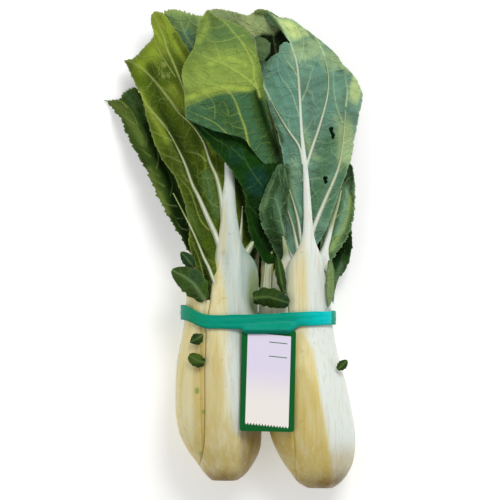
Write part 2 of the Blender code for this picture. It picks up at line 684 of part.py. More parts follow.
def make_band(collection, material):
    """Make the flat band, which dips at the left of the front."""
    turn, line_x, line_z = band_outline()
    across = line_x / UNIT + MIDDLE_ACROSS
    y = (MIDDLE_DOWN - (321.5 - 9.0 * ease((214.0 - across) / 30.0) ** 1.5
                        - 3.6 * ease((across - 225.0) / 110.0))) * UNIT
    rings = []
    for x, mid, z, angle in zip(line_x, y, line_z, turn):
        ring = []
        for out, half in ((0.0, -0.5), (1.0, -0.5), (1.0, 0.5), (0.0, 0.5)):
            reach = BAND_GAP + out * BAND_THICKNESS
            ring.append((x + reach * math.sin(angle), mid + half * BAND_HEIGHT,
                         z + reach * math.cos(angle)))
        rings.append(ring)
    body = bmesh.new()
    loops = [[body.verts.new(point) for point in ring] for ring in rings]
    for k, ring in enumerate(loops):
        following = loops[(k + 1) % len(loops)]
        for j in range(4):
            body.faces.new((ring[j], ring[(j + 1) % 4], following[(j + 1) % 4], following[j]))
    bmesh.ops.triangulate(body, faces=body.faces[:])
    bmesh.ops.recalc_face_normals(body, faces=body.faces[:])
    mesh = bpy.data.meshes.new("tie_band")
    body.to_mesh(mesh)
    body.free()
    join_by_union("tie_band", [mesh, neck_mesh()], collection, material)


def neck_mesh():
    """Make the neck of the band, which steps up over the tag's top edge."""
    rings = []
    for down, left, right, low_left, low_right, thickness in NECK:
        ring = []
        for across, low, up in ((left, low_left, 0.0), (right, low_right, 0.0),
                                (right, low_right, 1.0), (left, low_left, 1.0)):
            x, y = front(across, down)
            ring.append((float(x), float(y), (low + up * thickness) * MM))
        rings.append(ring)
    return loft("band_neck", rings)


def make_tag(collection, material):
    """Make the card tag, which hangs from the band over the two heads."""
    outline = bpy.data.curves.new("tag_outline", "CURVE")
    outline.dimensions = "2D"
    outline.fill_mode = "BOTH"
    outline.extrude = TAG_THICKNESS / 2
    spline = outline.splines.new("POLY")
    half_w, half_l = TAG_WIDTH / 2 - TAG_CORNER, TAG_LENGTH / 2 - TAG_CORNER
    points = []
    for quarter, (sx, sy) in enumerate(((1, 1), (-1, 1), (-1, -1), (1, -1))):
        for step in range(3):
            angle = math.pi / 2 * (quarter + step / 2)
            points.append((sx * half_w + TAG_CORNER * math.cos(angle),
                           sy * half_l + TAG_CORNER * math.sin(angle)))
    spline.points.add(len(points) - 1)
    for point, (x, y) in zip(spline.points, points):
        point.co = (x, y, 0.0, 1.0)
    spline.use_cyclic_u = True
    guide = bpy.data.objects.new("tag_outline", outline)
    collection.objects.link(guide)
    mesh = evaluated_mesh(guide)
    bpy.data.objects.remove(guide, do_unlink=True)
    body = bmesh.new()
    body.from_mesh(mesh)
    bmesh.ops.remove_doubles(body, verts=body.verts[:], dist=0.00001)
    bmesh.ops.recalc_face_normals(body, faces=body.faces[:])
    body.to_mesh(mesh)
    body.free()
    item = add_object("tag_card", mesh, collection, material)
    x, y = front(267.8, 380.0)
    item.location = (float(x), float(y), TAG_HEIGHT)
    item.rotation_euler = (-TAG_SLOPE, 0.0, -TAG_TURN)


def main():
    """Model the bunch."""
    clear_scene()
    bunch = new_collection("pak_choi_bunch")
    cutters = new_collection("cutters")
    stalk = new_material("stalk_white", (0.80, 0.80, 0.66), 0.38)
    crown = new_material("cut_butt", (0.62, 0.50, 0.30), 0.60)
    small = new_material("small_leaf", (0.03, 0.12, 0.03), 0.50)
    blades = {
        "left_front": new_material("olive_leaf", (0.16, 0.24, 0.03), 0.45),
        "left_outer": new_material("dark_olive_leaf", (0.05, 0.10, 0.02), 0.50),
        "left_back": new_material("blue_leaf", (0.06, 0.14, 0.08), 0.50),
        "left_far": new_material("grey_leaf", (0.15, 0.21, 0.12), 0.60),
        "centre_fold": new_material("dark_leaf", (0.01, 0.05, 0.02), 0.40),
        "centre": new_material("lit_leaf", (0.30, 0.42, 0.07), 0.45),
        "right_front": new_material("blue_green_leaf", (0.13, 0.26, 0.16), 0.50),
        "right_left": new_material("mid_leaf", (0.10, 0.21, 0.12), 0.50),
        "right_right": new_material("right_leaf", (0.10, 0.20, 0.08), 0.50),
        "right_back": new_material("back_leaf", (0.05, 0.13, 0.05), 0.50),
    }
    make_left_stalks(bunch, stalk)
    make_right_stalks(bunch, stalk)
    make_left_blades(bunch, blades)
    make_right_blades(bunch, blades, cutters)
    make_small_leaves(bunch, small)
    make_crown("left_butt", LEFT_HEAD, bunch, crown)
    make_crown("right_butt", RIGHT_HEAD, bunch, crown)
    make_band(bunch, new_material("teal_band", (0.01, 0.32, 0.27), 0.35))
    make_tag(bunch, new_material("tag_paper", (0.85, 0.84, 0.86), 0.55))


main()
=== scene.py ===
"""Looks of a pak choi bunch: fine leaves, stalks, tie band and tag over their solids.

Places are drawn on the front of the bunch: steps across and down, one step being UNIT metres.
Heights above the surface that the bunch lies on are in millimetres.
"""

import logging
import math
from collections.abc import Callable, Sequence
from dataclasses import dataclass
from enum import Enum

import bpy
import numpy as np
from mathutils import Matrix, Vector


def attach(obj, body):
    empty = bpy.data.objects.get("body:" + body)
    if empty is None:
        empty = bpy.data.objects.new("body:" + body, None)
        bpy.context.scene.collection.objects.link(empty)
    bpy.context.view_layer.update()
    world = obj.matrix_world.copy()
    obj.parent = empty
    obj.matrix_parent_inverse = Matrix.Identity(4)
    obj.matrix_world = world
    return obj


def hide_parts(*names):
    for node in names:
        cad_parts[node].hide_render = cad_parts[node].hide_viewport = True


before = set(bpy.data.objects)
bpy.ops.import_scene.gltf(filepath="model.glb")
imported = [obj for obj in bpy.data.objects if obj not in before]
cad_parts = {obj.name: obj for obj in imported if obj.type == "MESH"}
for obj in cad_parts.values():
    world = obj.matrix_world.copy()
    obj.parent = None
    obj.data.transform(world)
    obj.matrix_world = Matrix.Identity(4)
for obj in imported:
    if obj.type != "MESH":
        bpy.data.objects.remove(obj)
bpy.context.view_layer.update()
LOG = logging.getLogger("bunch")

Array = np.ndarray
Place = tuple[float, float]
Height = Callable[[Array, Array], Array]
Colour = tuple[int, int, int]
Socket = bpy.types.NodeSocket
Material = bpy.types.Material

# Front drawing
UNIT = 0.000686
MIDDLE_ACROSS = 232.6
MIDDLE_DOWN = 248.0
MM = 0.001

# Band, neck and tag
BAND_HEIGHT = 0.0096
BAND_THICKNESS = 0.0009
BAND_GAP = 0.0007
NECK_DOWN = (319.0, 324.0, 328.0, 337.0)
NECK_LEFT = (54.4, 55.05, 56.55, 56.9)
NECK_RIGHT = (51.85, 53.6, 56.45, 56.8)
SEAM_GAP = 0.00004

# Each head: down, across, height of the axis, radius and stalk thickness
LEFT_HEAD = (
    (481, 224.5, 29, 9, 3), (475, 225.5, 28.6, 14, 4.2), (464, 225.5, 28.2, 19.5, 5.5),
    (449, 223.5, 27.2, 25.6, 6.8), (430, 220, 27.6, 29, 7.2), (405, 218.5, 28.6, 30, 7),
    (363, 218, 28.8, 28.6, 6.2), (334, 220.5, 28.4, 26.4, 5.4), (300, 222, 28, 24.8, 5))
RIGHT_HEAD = (
    (488.5, 320.5, 29, 9.2, 3), (483, 320, 28.8, 15, 4.4), (474, 320, 28.4, 19.8, 5.6),
    (460, 318, 28, 25.2, 6.8), (437, 313.5, 28.3, 29.5, 7.2), (410, 309.5, 28.4, 29.6, 7),
    (382, 306, 28.5, 27.8, 6.2), (353, 302.5, 28.4, 24.6, 5.4), (326, 302, 28.2, 21.6, 5),
    (300, 301, 28, 20.6, 4.8))


class Tint(Enum):
    """Masks that are painted on a surface and read by its finish."""

    VEIN = "vein"
    RIM = "rim"
    UNDER = "under"
    # The lit mask is painted light. The shade, deep and blue masks are painted shade; the blue one is partly
    # the leaves' own blue-green and, on the stalks, a cool grey shade.
    LIT = "lit"
    SHADE = "shade"
    DEEP = "deep"
    BLUE = "blue"
    CREAM = "cream"
    TAN = "tan"
    BROWN = "brown"
    GREEN = "green"
    # Marks water drops, which the finish makes glossier and lightens as a painted glint.
    WET = "wet"


VEIN, RIM, UNDER, LIT, SHADE, DEEP, BLUE, CREAM, TAN, BROWN, GREEN, WET = Tint
LEAF_TINTS = (LIT, SHADE, DEEP, BLUE)
STALK_TINTS = (BLUE, CREAM, TAN, GREEN, BROWN)


# Drawing and curves


def front(across: Array, down: Array) -> tuple[Array, Array]:
    """Turn places on the front drawing into X and Y in metres."""
    return (across - MIDDLE_ACROSS) * UNIT, (MIDDLE_DOWN - down) * UNIT


def ease(value: Array) -> Array:
    """Smooth step from 0 to 1."""
    t = np.clip(value, 0.0, 1.0)
    return t * t * (3.0 - 2.0 * t)


def smooth_path(points: Sequence[Sequence[float]], count: int) -> Array:
    """Run a rounded path through points.

    Each run is a cubic whose slope at a point is half the step between its neighbours.

    Args:
        points: The places that the path goes through; further columns are carried along.
        count: How many places are read, at even steps of the first two columns.

    Returns:
        The places, one row each.
    """
    points = np.asarray(points, dtype=float)
    padded = np.vstack([2 * points[0] - points[1], points, 2 * points[-1] - points[-2]])
    p0, p1, p2, p3 = (padded[k:len(padded) - 3 + k, None, :] for k in range(4))
    t = np.linspace(0.0, 1.0, 12, endpoint=False)[None, :, None]
    runs = 0.5 * (2 * p1 + (p2 - p0) * t + (2 * p0 - 5 * p1 + 4 * p2 - p3) * t ** 2
                  + (3 * p1 - p0 - 3 * p2 + p3) * t ** 3)
    curve = np.vstack([runs.reshape(-1, points.shape[1]), points[-1:]])
    along = np.concatenate([[0.0], np.cumsum(np.linalg.norm(np.diff(curve[:, :2], axis=0), axis=1))])
    even = np.linspace(0.0, along[-1], count)
    return np.column_stack([np.interp(even, along, curve[:, k]) for k in range(curve.shape[1])])


def headings(path: Array) -> Array:
    """Unit direction of a path at each of its points."""
    step = np.gradient(path, axis=0)
    return step / np.linalg.norm(step, axis=1)[:, None]


def coons_patch(outline: Sequence[Sequence[Place]], columns: int, rows: int) -> Array:
    """Fill four edge curves with a grid.

    A point is the blend of the side curves plus the blend of the end curves, less the blend of
    the four corners.

    Args:
        outline: The left, right, base and top edges.
        columns: Points from left to right.
        rows: Points from base to top.

    Returns:
        The places, rows x columns x 2.
    """
    left, right = (smooth_path(edge, rows) for edge in outline[:2])
    base, top = (smooth_path(edge, columns) for edge in outline[2:])
    u = np.linspace(0.0, 1.0, columns)[None, :, None]
    v = np.linspace(0.0, 1.0, rows)[:, None, None]
    corners = ((1 - u) * (1 - v) * base[0] + u * (1 - v) * base[-1]
               + (1 - u) * v * top[0] + u * v * top[-1])
    return (1 - u) * left[:, None] + u * right[:, None] + (1 - v) * base[None] + v * top[None] - corners


def path_field(across: Array, down: Array, path: Array) -> tuple[Array, Array]:
    """Measure how far each place lies from a path.

    The foot of the perpendicular is taken on each straight step, kept within the step, and the
    nearest foot counts.

    Args:
        across: Places across, of any shape.
        down: Places down, of the same shape.
        path: Points of the path, one row each.

    Returns:
        The distance, and the share of the path at the nearest foot.
    """
    start, step = path[:-1, :2], np.diff(path[:, :2], axis=0)
    off_a = across.ravel()[:, None] - start[:, 0]
    off_d = down.ravel()[:, None] - start[:, 1]
    size = np.maximum((step ** 2).sum(axis=1), 1e-9)
    foot = np.clip((off_a * step[:, 0] + off_d * step[:, 1]) / size, 0.0, 1.0)
    gap = (off_a - foot * step[:, 0]) ** 2 + (off_d - foot * step[:, 1]) ** 2
    nearest = gap.argmin(axis=1)
    row = np.arange(len(nearest))
    share = (nearest + foot[row, nearest]) / len(start)
    return np.sqrt(gap[row, nearest]).reshape(across.shape), share.reshape(across.shape)


def swell(across: Array, down: Array, length: float, seed: int) -> Array:
    """Gentle uneven swell between -1 and 1: plane waves in seeded directions, added together.

    Args:
        across: Places across.
        down: Places down, of the same shape.
        length: Usual length of a wave.
        seed: Seed of the directions.

    Returns:
        The swell at each place.
    """
    rng = np.random.default_rng(seed)
    total = np.zeros_like(across)
    for angle, phase, scale in zip(rng.uniform(0, math.pi, 7), rng.uniform(0, 2 * math.pi, 7),
                                   rng.uniform(0.7, 1.5, 7)):
        wave = 2 * math.pi * scale / length
        total += np.sin(wave * (across * math.cos(angle) + down * math.sin(angle)) + phase)
    return total / 4.0


def inside(across: Array, down: Array, outline: Sequence[Place]) -> Array:
    """Tell which places lie inside an outline, by counting the edges that a line from each crosses.

    Args:
        across: Places across.
        down: Places down, of the same shape.
        outline: Corners of the outline.

    Returns:
        True where a place lies inside.
    """
    within = np.zeros(across.shape, dtype=bool)
    for (a0, d0), (a1, d1) in zip(outline, outline[1:] + outline[:1]):
        spans = (d0 > down) != (d1 > down)
        meets = across < (a1 - a0) * (down - d0) / (d1 - d0 + 1e-9) + a0
        within ^= spans & meets
    return within


# Heights of the leaves' faces


def arch(across: Array, middle: float, left: float, right: float) -> Array:
    """Fall away from a middle line as the square of the distance, at its own rate on each side."""
    offset = across - middle
    return np.where(offset < 0.0, left, right) * offset ** 2


def tip_fall(down: Array, start: float, drop: float) -> Array:
    """Fall toward the leaf tips above a line of the drawing."""
    return drop * (np.clip(start - down, 0.0, None) / start) ** 2


def left_front_height(across: Array, down: Array) -> Array:
    """Height of the left head's front leaf."""
    lap = 5.0 * ease((down - 252.0) / 20.0)
    return 42.0 - arch(across, 225.0, 0.0021, 0.0050) - tip_fall(down, 200.0, 8.0) + lap


def left_outer_height(across: Array, down: Array) -> Array:
    """Height of the left head's outer leaf."""
    droop = 3.0 * ease((125.0 - across) / 25.0)
    return 32.6 - arch(across, 225.0, 0.0018, 0.0) - tip_fall(down, 200.0, 6.0) - droop


def left_back_height(across: Array, down: Array) -> Array:
    """Height of the left head's back leaf."""
    return 12.6 + 6.5 * ease((290.0 - down) / 280.0) - arch(across, 200.0, 0.0010, 0.0010)


def left_far_height(across: Array, down: Array) -> Array:
    """Height of the left head's far leaf, whose tip rises behind the others."""
    return 19.0 + 22.0 * ease((300.0 - down) / 290.0) - arch(across, 250.0, 0.0018, 0.0020)


def centre_height(across: Array, down: Array) -> Array:
    """Height of the folded centre leaf: a ridge across it at its brightest line."""
    ridge = 62.0 - 0.11 * (np.sqrt((down - 92.0) ** 2 + 260.0) - 16.0)
    return ridge - arch(across, 222.0, 0.0042, 0.0062)


def fold_height(across: Array, down: Array) -> Array:
    """Height of the centre leaf's dark side that shows below the fold."""
    return 51.5 - arch(across, 228.0, 0.0030, 0.0060) - 7.0 * ease((down - 168.0) / 85.0)


def right_front_height(across: Array, down: Array) -> Array:
    """Height of the right head's large front leaf."""
    rise = 6.0 * ease((240.0 - down) / 140.0) - 2.6 * ease((down - 222.0) / 26.0)
    return 43.6 + rise - tip_fall(down, 90.0, 5.0) - arch(across, 306.0, 0.0018, 0.0070)


def right_left_height(across: Array, down: Array) -> Array:
    """Height of the right head's ruffled left leaf."""
    return 31.6 - arch(across, 290.0, 0.0012, 0.0) + 16.0 * ease((262.0 - down) / 40.0)


def right_right_height(across: Array, down: Array) -> Array:
    """Height of the right head's ruffled right leaf."""
    return 30.8 - arch(across, 318.0, 0.0, 0.0085) + 4.5 * ease((255.0 - down) / 80.0)


def right_back_height(across: Array, down: Array) -> Array:
    """Height of the right head's back leaf."""
    bend = arch(across, 310.0, 0.0010, -0.0030)
    return 12.6 - 10.4 * ease((255.0 - down) / 200.0) - bend * ease((down - 120.0) / 120.0)


def slope(level: float, across_0: float, down_0: float, per_across: float, per_down: float) -> Height:
    """Make the height of a plane that tilts across and down the drawing.

    Args:
        level: Height at the middle place.
        across_0: The middle place, across.
        down_0: The middle place, down.
        per_across: Rise for each step across.
        per_down: Rise for each step down.

    Returns:
        The height as a function of places.
    """
    def height(across: Array, down: Array) -> Array:
        """Height of the tilted plane."""
        return level + per_across * (across - across_0) + per_down * (down - down_0)
    return height


# Closed bodies from grids


@dataclass
class Body:
    """Points in metres, four-sided faces and painted masks of a closed body."""

    points: Array
    faces: Array
    masks: dict[Tint, Array]

    def volume(self) -> float:
        """Volume of the body, negative when its faces point in."""
        a, b, c, d = (self.points[self.faces[:, k]] for k in range(4))
        halves = np.einsum("ij,ij->i", a, np.cross(b, c)) + np.einsum("ij,ij->i", a, np.cross(c, d))
        return float(halves.sum() / 6.0)

    def turned_out(self) -> "Body":
        """Turn the faces round if they point in.

        Returns:
            The same body.
        """
        if self.volume() < 0.0:
            self.faces = self.faces[:, ::-1]
        return self


def grid_faces(rows: int, columns: int, closed: bool = False) -> Array:
    """Number the faces of a grid of points, row by row.

    Args:
        rows: Rows of points.
        columns: Points in a row.
        closed: Whether the last column joins the first.

    Returns:
        Four corner numbers for each face.
    """
    row = np.arange(rows - 1)[:, None] * columns
    here = np.arange(columns if closed else columns - 1)[None, :]
    following = (here + 1) % columns
    corners = (row + here, row + following, row + columns + following, row + columns + here)
    return np.stack(corners, axis=-1).reshape(-1, 4)


def sheet_body(top: Array, thickness: Array, masks: dict[Tint, Array], keep: Array | None = None) -> Body:
    """Give a grid of points a second face and a rim.

    The second face lies under the first along its normals, and the rim follows every edge that
    only one face uses.

    Args:
        top: The upper face, rows x columns x 3.
        thickness: Distance to the second face in metres, rows x columns.
        masks: Painted masks, rows x columns each.
        keep: Which cells of the grid stay, or None for all.

    Returns:
        The closed body.
    """
    rows, columns = top.shape[:2]
    normal = np.cross(np.gradient(top, axis=1), np.gradient(top, axis=0))
    normal /= np.linalg.norm(normal, axis=2, keepdims=True) + 1e-12
    normal *= np.sign(normal[..., 2:].sum())
    low = top - normal * thickness[..., None]
    faces = grid_faces(rows, columns)
    if keep is not None:
        faces = faces[keep.ravel()]
    count = rows * columns
    edges = np.stack([faces, np.roll(faces, -1, axis=1)], axis=2).reshape(-1, 2)
    single = edges[~np.isin(edges[:, 1] * count + edges[:, 0], edges[:, 0] * count + edges[:, 1])]
    rim = np.column_stack([single[:, 1], single[:, 0], single[:, 0] + count, single[:, 1] + count])
    faces = np.vstack([faces, faces[:, ::-1] + count, rim])
    used, faces = np.unique(faces, return_inverse=True)
    points = np.vstack([top.reshape(-1, 3), low.reshape(-1, 3)])[used]
    painted = {tint: np.tile(mask.ravel(), 2)[used] for tint, mask in masks.items()}
    painted[UNDER] = (used >= count).astype(float)
    return Body(points, faces.reshape(-1, 4), painted).turned_out()


def ring_body(outer: Array, inner: Array, masks: dict[Tint, Array]) -> Body:
    """Close a wall between an outer and an inner grid of the same size.

    Args:
        outer: The outer face, rows x columns x 3.
        inner: The inner face, rows x columns x 3.
        masks: Painted masks, rows x columns each, used on both faces.

    Returns:
        The closed body, with its long edges and both ends filled.
    """
    rows, columns = outer.shape[:2]
    points = np.concatenate([outer, inner[:, ::-1]], axis=1)
    faces = grid_faces(rows, 2 * columns, closed=True)
    k = np.arange(columns - 1)
    cap = np.column_stack([k, 2 * columns - 1 - k, 2 * columns - 2 - k, k + 1])
    end = cap[:, ::-1] + (rows - 1) * 2 * columns
    painted = {tint: np.concatenate([mask, mask[:, ::-1]], axis=1).ravel() for tint, mask in masks.items()}
    return Body(points.reshape(-1, 3), np.vstack([faces, cap, end]), painted).turned_out()


def joined(bodies: Sequence[Body]) -> Body:
    """Put bodies together in one, each keeping its own masks.

    Args:
        bodies: The bodies.

    Returns:
        The one body.
    """
    starts = np.cumsum([0] + [len(body.points) for body in bodies[:-1]])
    tints = {tint for body in bodies for tint in body.masks}
    masks = {tint: np.concatenate([body.masks.get(tint, np.zeros(len(body.points))) for body in bodies])
             for tint in tints}
    return Body(np.vstack([body.points for body in bodies]),
                np.vstack([body.faces + start for body, start in zip(bodies, starts)]), masks)


def add_piece(name: str, body: Body, material: Material, node: str) -> bpy.types.Object:
    """Add a body to the scene as a piece that stands for its solid.

    Args:
        name: The piece's name.
        body: Its points, faces and masks.
        material: Its finish.
        node: The solid that it stands for.

    Returns:
        The new object, at the origin.
    """
    mesh = bpy.data.meshes.new(name)
    count = len(body.faces)
    mesh.vertices.add(len(body.points))
    mesh.vertices.foreach_set("co", body.points.astype(np.float32).ravel())
    mesh.loops.add(4 * count)
    mesh.loops.foreach_set("vertex_index", body.faces.astype(np.int32).ravel())
    mesh.polygons.add(count)
    mesh.polygons.foreach_set("loop_start", np.arange(0, 4 * count, 4, dtype=np.int32))
    mesh.polygons.foreach_set("use_smooth", np.ones(count, dtype=bool))
    mesh.update(calc_edges=True)
    mesh.validate()
    for tint, mask in body.masks.items():
        layer = mesh.attributes.new(tint.value, "FLOAT", "POINT")
        layer.data.foreach_set("value", np.clip(mask, 0.0, 1.0).astype(np.float32))
    mesh.materials.append(material)
    piece = bpy.data.objects.new(name, mesh)
    bpy.context.scene.collection.objects.link(piece)
    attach(piece, "root")
    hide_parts(node)
    LOG.info("%s: %d faces, stands for %s", name, count, node)
    return piece


# Painted patches, veins and ribs


@dataclass(frozen=True)
class Patch:
    """A soft-edged patch of one tint, drawn on the front."""

    tint: Tint
    middle: Place
    reach: Place
    strength: float = 1.0
    turn: float = 0.0
    soft: float = 0.7

    def mask(self, across: Array, down: Array) -> Array:
        """Strength inside a rounded box that is turned, easing to 0 round its rim.

        Args:
            across: Places across.
            down: Places down.

        Returns:
            The mask.
        """
        angle = math.radians(self.turn)
        off_a, off_d = across - self.middle[0], down - self.middle[1]
        along = np.abs(off_a * math.cos(angle) + off_d * math.sin(angle)) / self.reach[0]
        over = np.abs(off_d * math.cos(angle) - off_a * math.sin(angle)) / self.reach[1]
        gap = (along ** 2.5 + over ** 2.5) ** 0.4
        return self.strength * ease((1.0 + self.soft / 2 - gap) / self.soft)


@dataclass(frozen=True)
class Streak:
    """A soft-edged streak of one tint along a path."""

    tint: Tint
    points: tuple[Place, ...]
    width: Place
    strength: float = 1.0

    def mask(self, across: Array, down: Array) -> Array:
        """Bell over the streak's width at each place, easing to 0 at both ends.

        Args:
            across: Places across.
            down: Places down.

        Returns:
            The mask.
        """
        gap, share = path_field(across, down, smooth_path(self.points, 6 * len(self.points)))
        half = self.width[0] + (self.width[1] - self.width[0]) * share
        return self.strength * np.exp(-(gap / half) ** 2.4)


@dataclass(frozen=True)
class Region:
    """An area of one tint inside an outline."""

    tint: Tint
    outline: tuple[Place, ...]
    soft: float = 4.0
    strength: float = 1.0

    def mask(self, across: Array, down: Array) -> Array:
        """Strength inside the outline, easing to 0 over the soft width centred on it.

        Args:
            across: Places across.
            down: Places down.

        Returns:
            The mask.
        """
        closed = np.array(self.outline + self.outline[:1], dtype=float)
        gap = path_field(across, down, closed)[0]
        gap = np.where(inside(across, down, self.outline), gap, -gap)
        return self.strength * ease(0.5 + gap / self.soft)


@dataclass(frozen=True)
class Fold:
    """A long fold of a blade: a ridge along a path, or a valley where its rise is below 0."""

    points: tuple[Place, ...]
    width: float
    rise: float

    def lift(self, across: Array, down: Array) -> Array:
        """Bell across the fold that fades at both ends."""
        gap, share = path_field(across, down, smooth_path(self.points, 6 * len(self.points)))
        return self.rise * np.exp(-(gap / self.width) ** 2) * np.sin(math.pi * (0.08 + 0.84 * share)) ** 0.6


def paint(patches: Sequence[Patch | Streak | Region], tints: Sequence[Tint], across: Array,
          down: Array) -> dict[Tint, Array]:
    """Work out the mask of each tint from the patches, streaks and regions that carry it.

    Args:
        patches: The painted areas.
        tints: The tints that the surface uses.
        across: Places across.
        down: Places down, of the same shape.

    Returns:
        A mask for each tint.
    """
    masks = {tint: np.zeros(across.shape) for tint in tints}
    for patch in patches:
        masks[patch.tint] = np.maximum(masks[patch.tint], patch.mask(across, down))
    return masks


@dataclass(frozen=True)
class Vein:
    """A vein in a blade: its path, its width at the root and the end, and its rise."""

    points: tuple[Place, ...]
    width: Place = (1.5, 0.8)
    rise: float = 0.35
    tone: float = 1.0

    def field(self, across: Array, down: Array) -> Array:
        """Mask of the vein: a bell over its width that fades near its end.

        Args:
            across: Places across.
            down: Places down.

        Returns:
            The mask.
        """
        gap, share = path_field(across, down, smooth_path(self.points, 6 * len(self.points)))
        half = 0.5 * (self.width[0] + (self.width[1] - self.width[0]) * share)
        return np.exp(-(gap / half) ** 2) * (1.0 - 0.75 * share ** 2)


@dataclass(frozen=True)
class Rib:
    """A raised rib of a stalk that runs on along the blade."""

    points: tuple[Place, ...]
    width: Place
    depth: Place
    green: Place = (0.35, 1.0)
    under: bool = False

    def body(self, height: Height) -> Body:
        """Build the rib: a low dome carried along the path, whose edges sink into the blade.

        Args:
            height: Height of the blade that it lies on.

        Returns:
            The closed rib.
        """
        rows, columns = 10 * len(self.points), 15
        path = smooth_path(self.points, rows)
        tangent = headings(path)
        share = np.linspace(0.0, 1.0, rows)[:, None]
        s = np.linspace(-1.0, 1.0, columns)[None, :]
        half = (self.width[1] + (self.width[0] - self.width[1]) * (1 - share) ** 1.5) / 2 / (UNIT / MM)
        across = path[:, :1] - tangent[:, 1:] * half * s
        down = path[:, 1:] + tangent[:, :1] * half * s
        lift = (self.depth[0] + (self.depth[1] - self.depth[0]) * share + 0.9) * (1.0 - np.abs(s) ** 2.1)
        lift = lift * (0.25 + 0.75 * ease((1.0 - share) / 0.10))
        base = height(across, down)
        if self.under:
            z, low = base - 1.2 - lift, base - 1.0
            z, low = np.maximum(z, 0.05), np.maximum(low, 0.6)
        else:
            z, low = base - 0.35 + lift, base - 0.55
        x, y = front(across, down)
        tinge = self.green[0] + (self.green[1] - self.green[0]) * share
        masks = {GREEN: np.clip(tinge + 0.5 * np.abs(s) ** 3, 0.0, 1.0), CREAM: 0.3 * share + 0.0 * s}
        upper, lower = np.stack([x, y, z * MM], axis=-1), np.stack([x, y, low * MM], axis=-1)
        return ring_body(upper, lower, masks)


def side_veins(spine: Sequence[Place], count: int, length: float, spread: float = 48.0,
               first: float = 0.12) -> tuple[Vein, ...]:
    """Branch veins off a spine by rule: left and right in turn, leaning toward its end and curving on.

    Args:
        spine: Path of the main rib.
        count: How many veins.
        length: Reach of the lowest one.
        spread: Angle from the spine in degrees.
        first: Share of the spine where the lowest one starts.

    Returns:
        The veins.
    """
    path = smooth_path(spine, 60)
    tangent = headings(path)
    veins = []
    for k in range(count):
        share = first + (0.94 - first) * k / count
        at = int(share * 59)
        turn = math.radians(spread) * (1 if k % 2 else -1)
        ahead = tangent[at]
        aside = np.array([ahead[0] * math.cos(turn) - ahead[1] * math.sin(turn),
                          ahead[0] * math.sin(turn) + ahead[1] * math.cos(turn)])
        reach = length * (1.0 - 0.55 * share)
        t = np.linspace(0.0, 1.0, 4)[:, None]
        points = path[at] + reach * (aside * t + 0.30 * (ahead - aside) * t ** 2)
        veins.append(Vein(tuple((float(a), float(d)) for a, d in points), (1.2, 0.6), 0.25, 0.5))
    return tuple(veins)


# Finishes


def linear(colour: Colour) -> tuple[float, float, float, float]:
    """Turn a screen colour from 0 to 255 into the shader's linear values.

    Args:
        colour: Red, green and blue.

    Returns:
        The linear values, with full cover.
    """
    share = np.array(colour) / 255.0
    value = np.where(share <= 0.04045, share / 12.92, ((share + 0.055) / 1.055) ** 2.4)
    return (float(value[0]), float(value[1]), float(value[2]), 1.0)


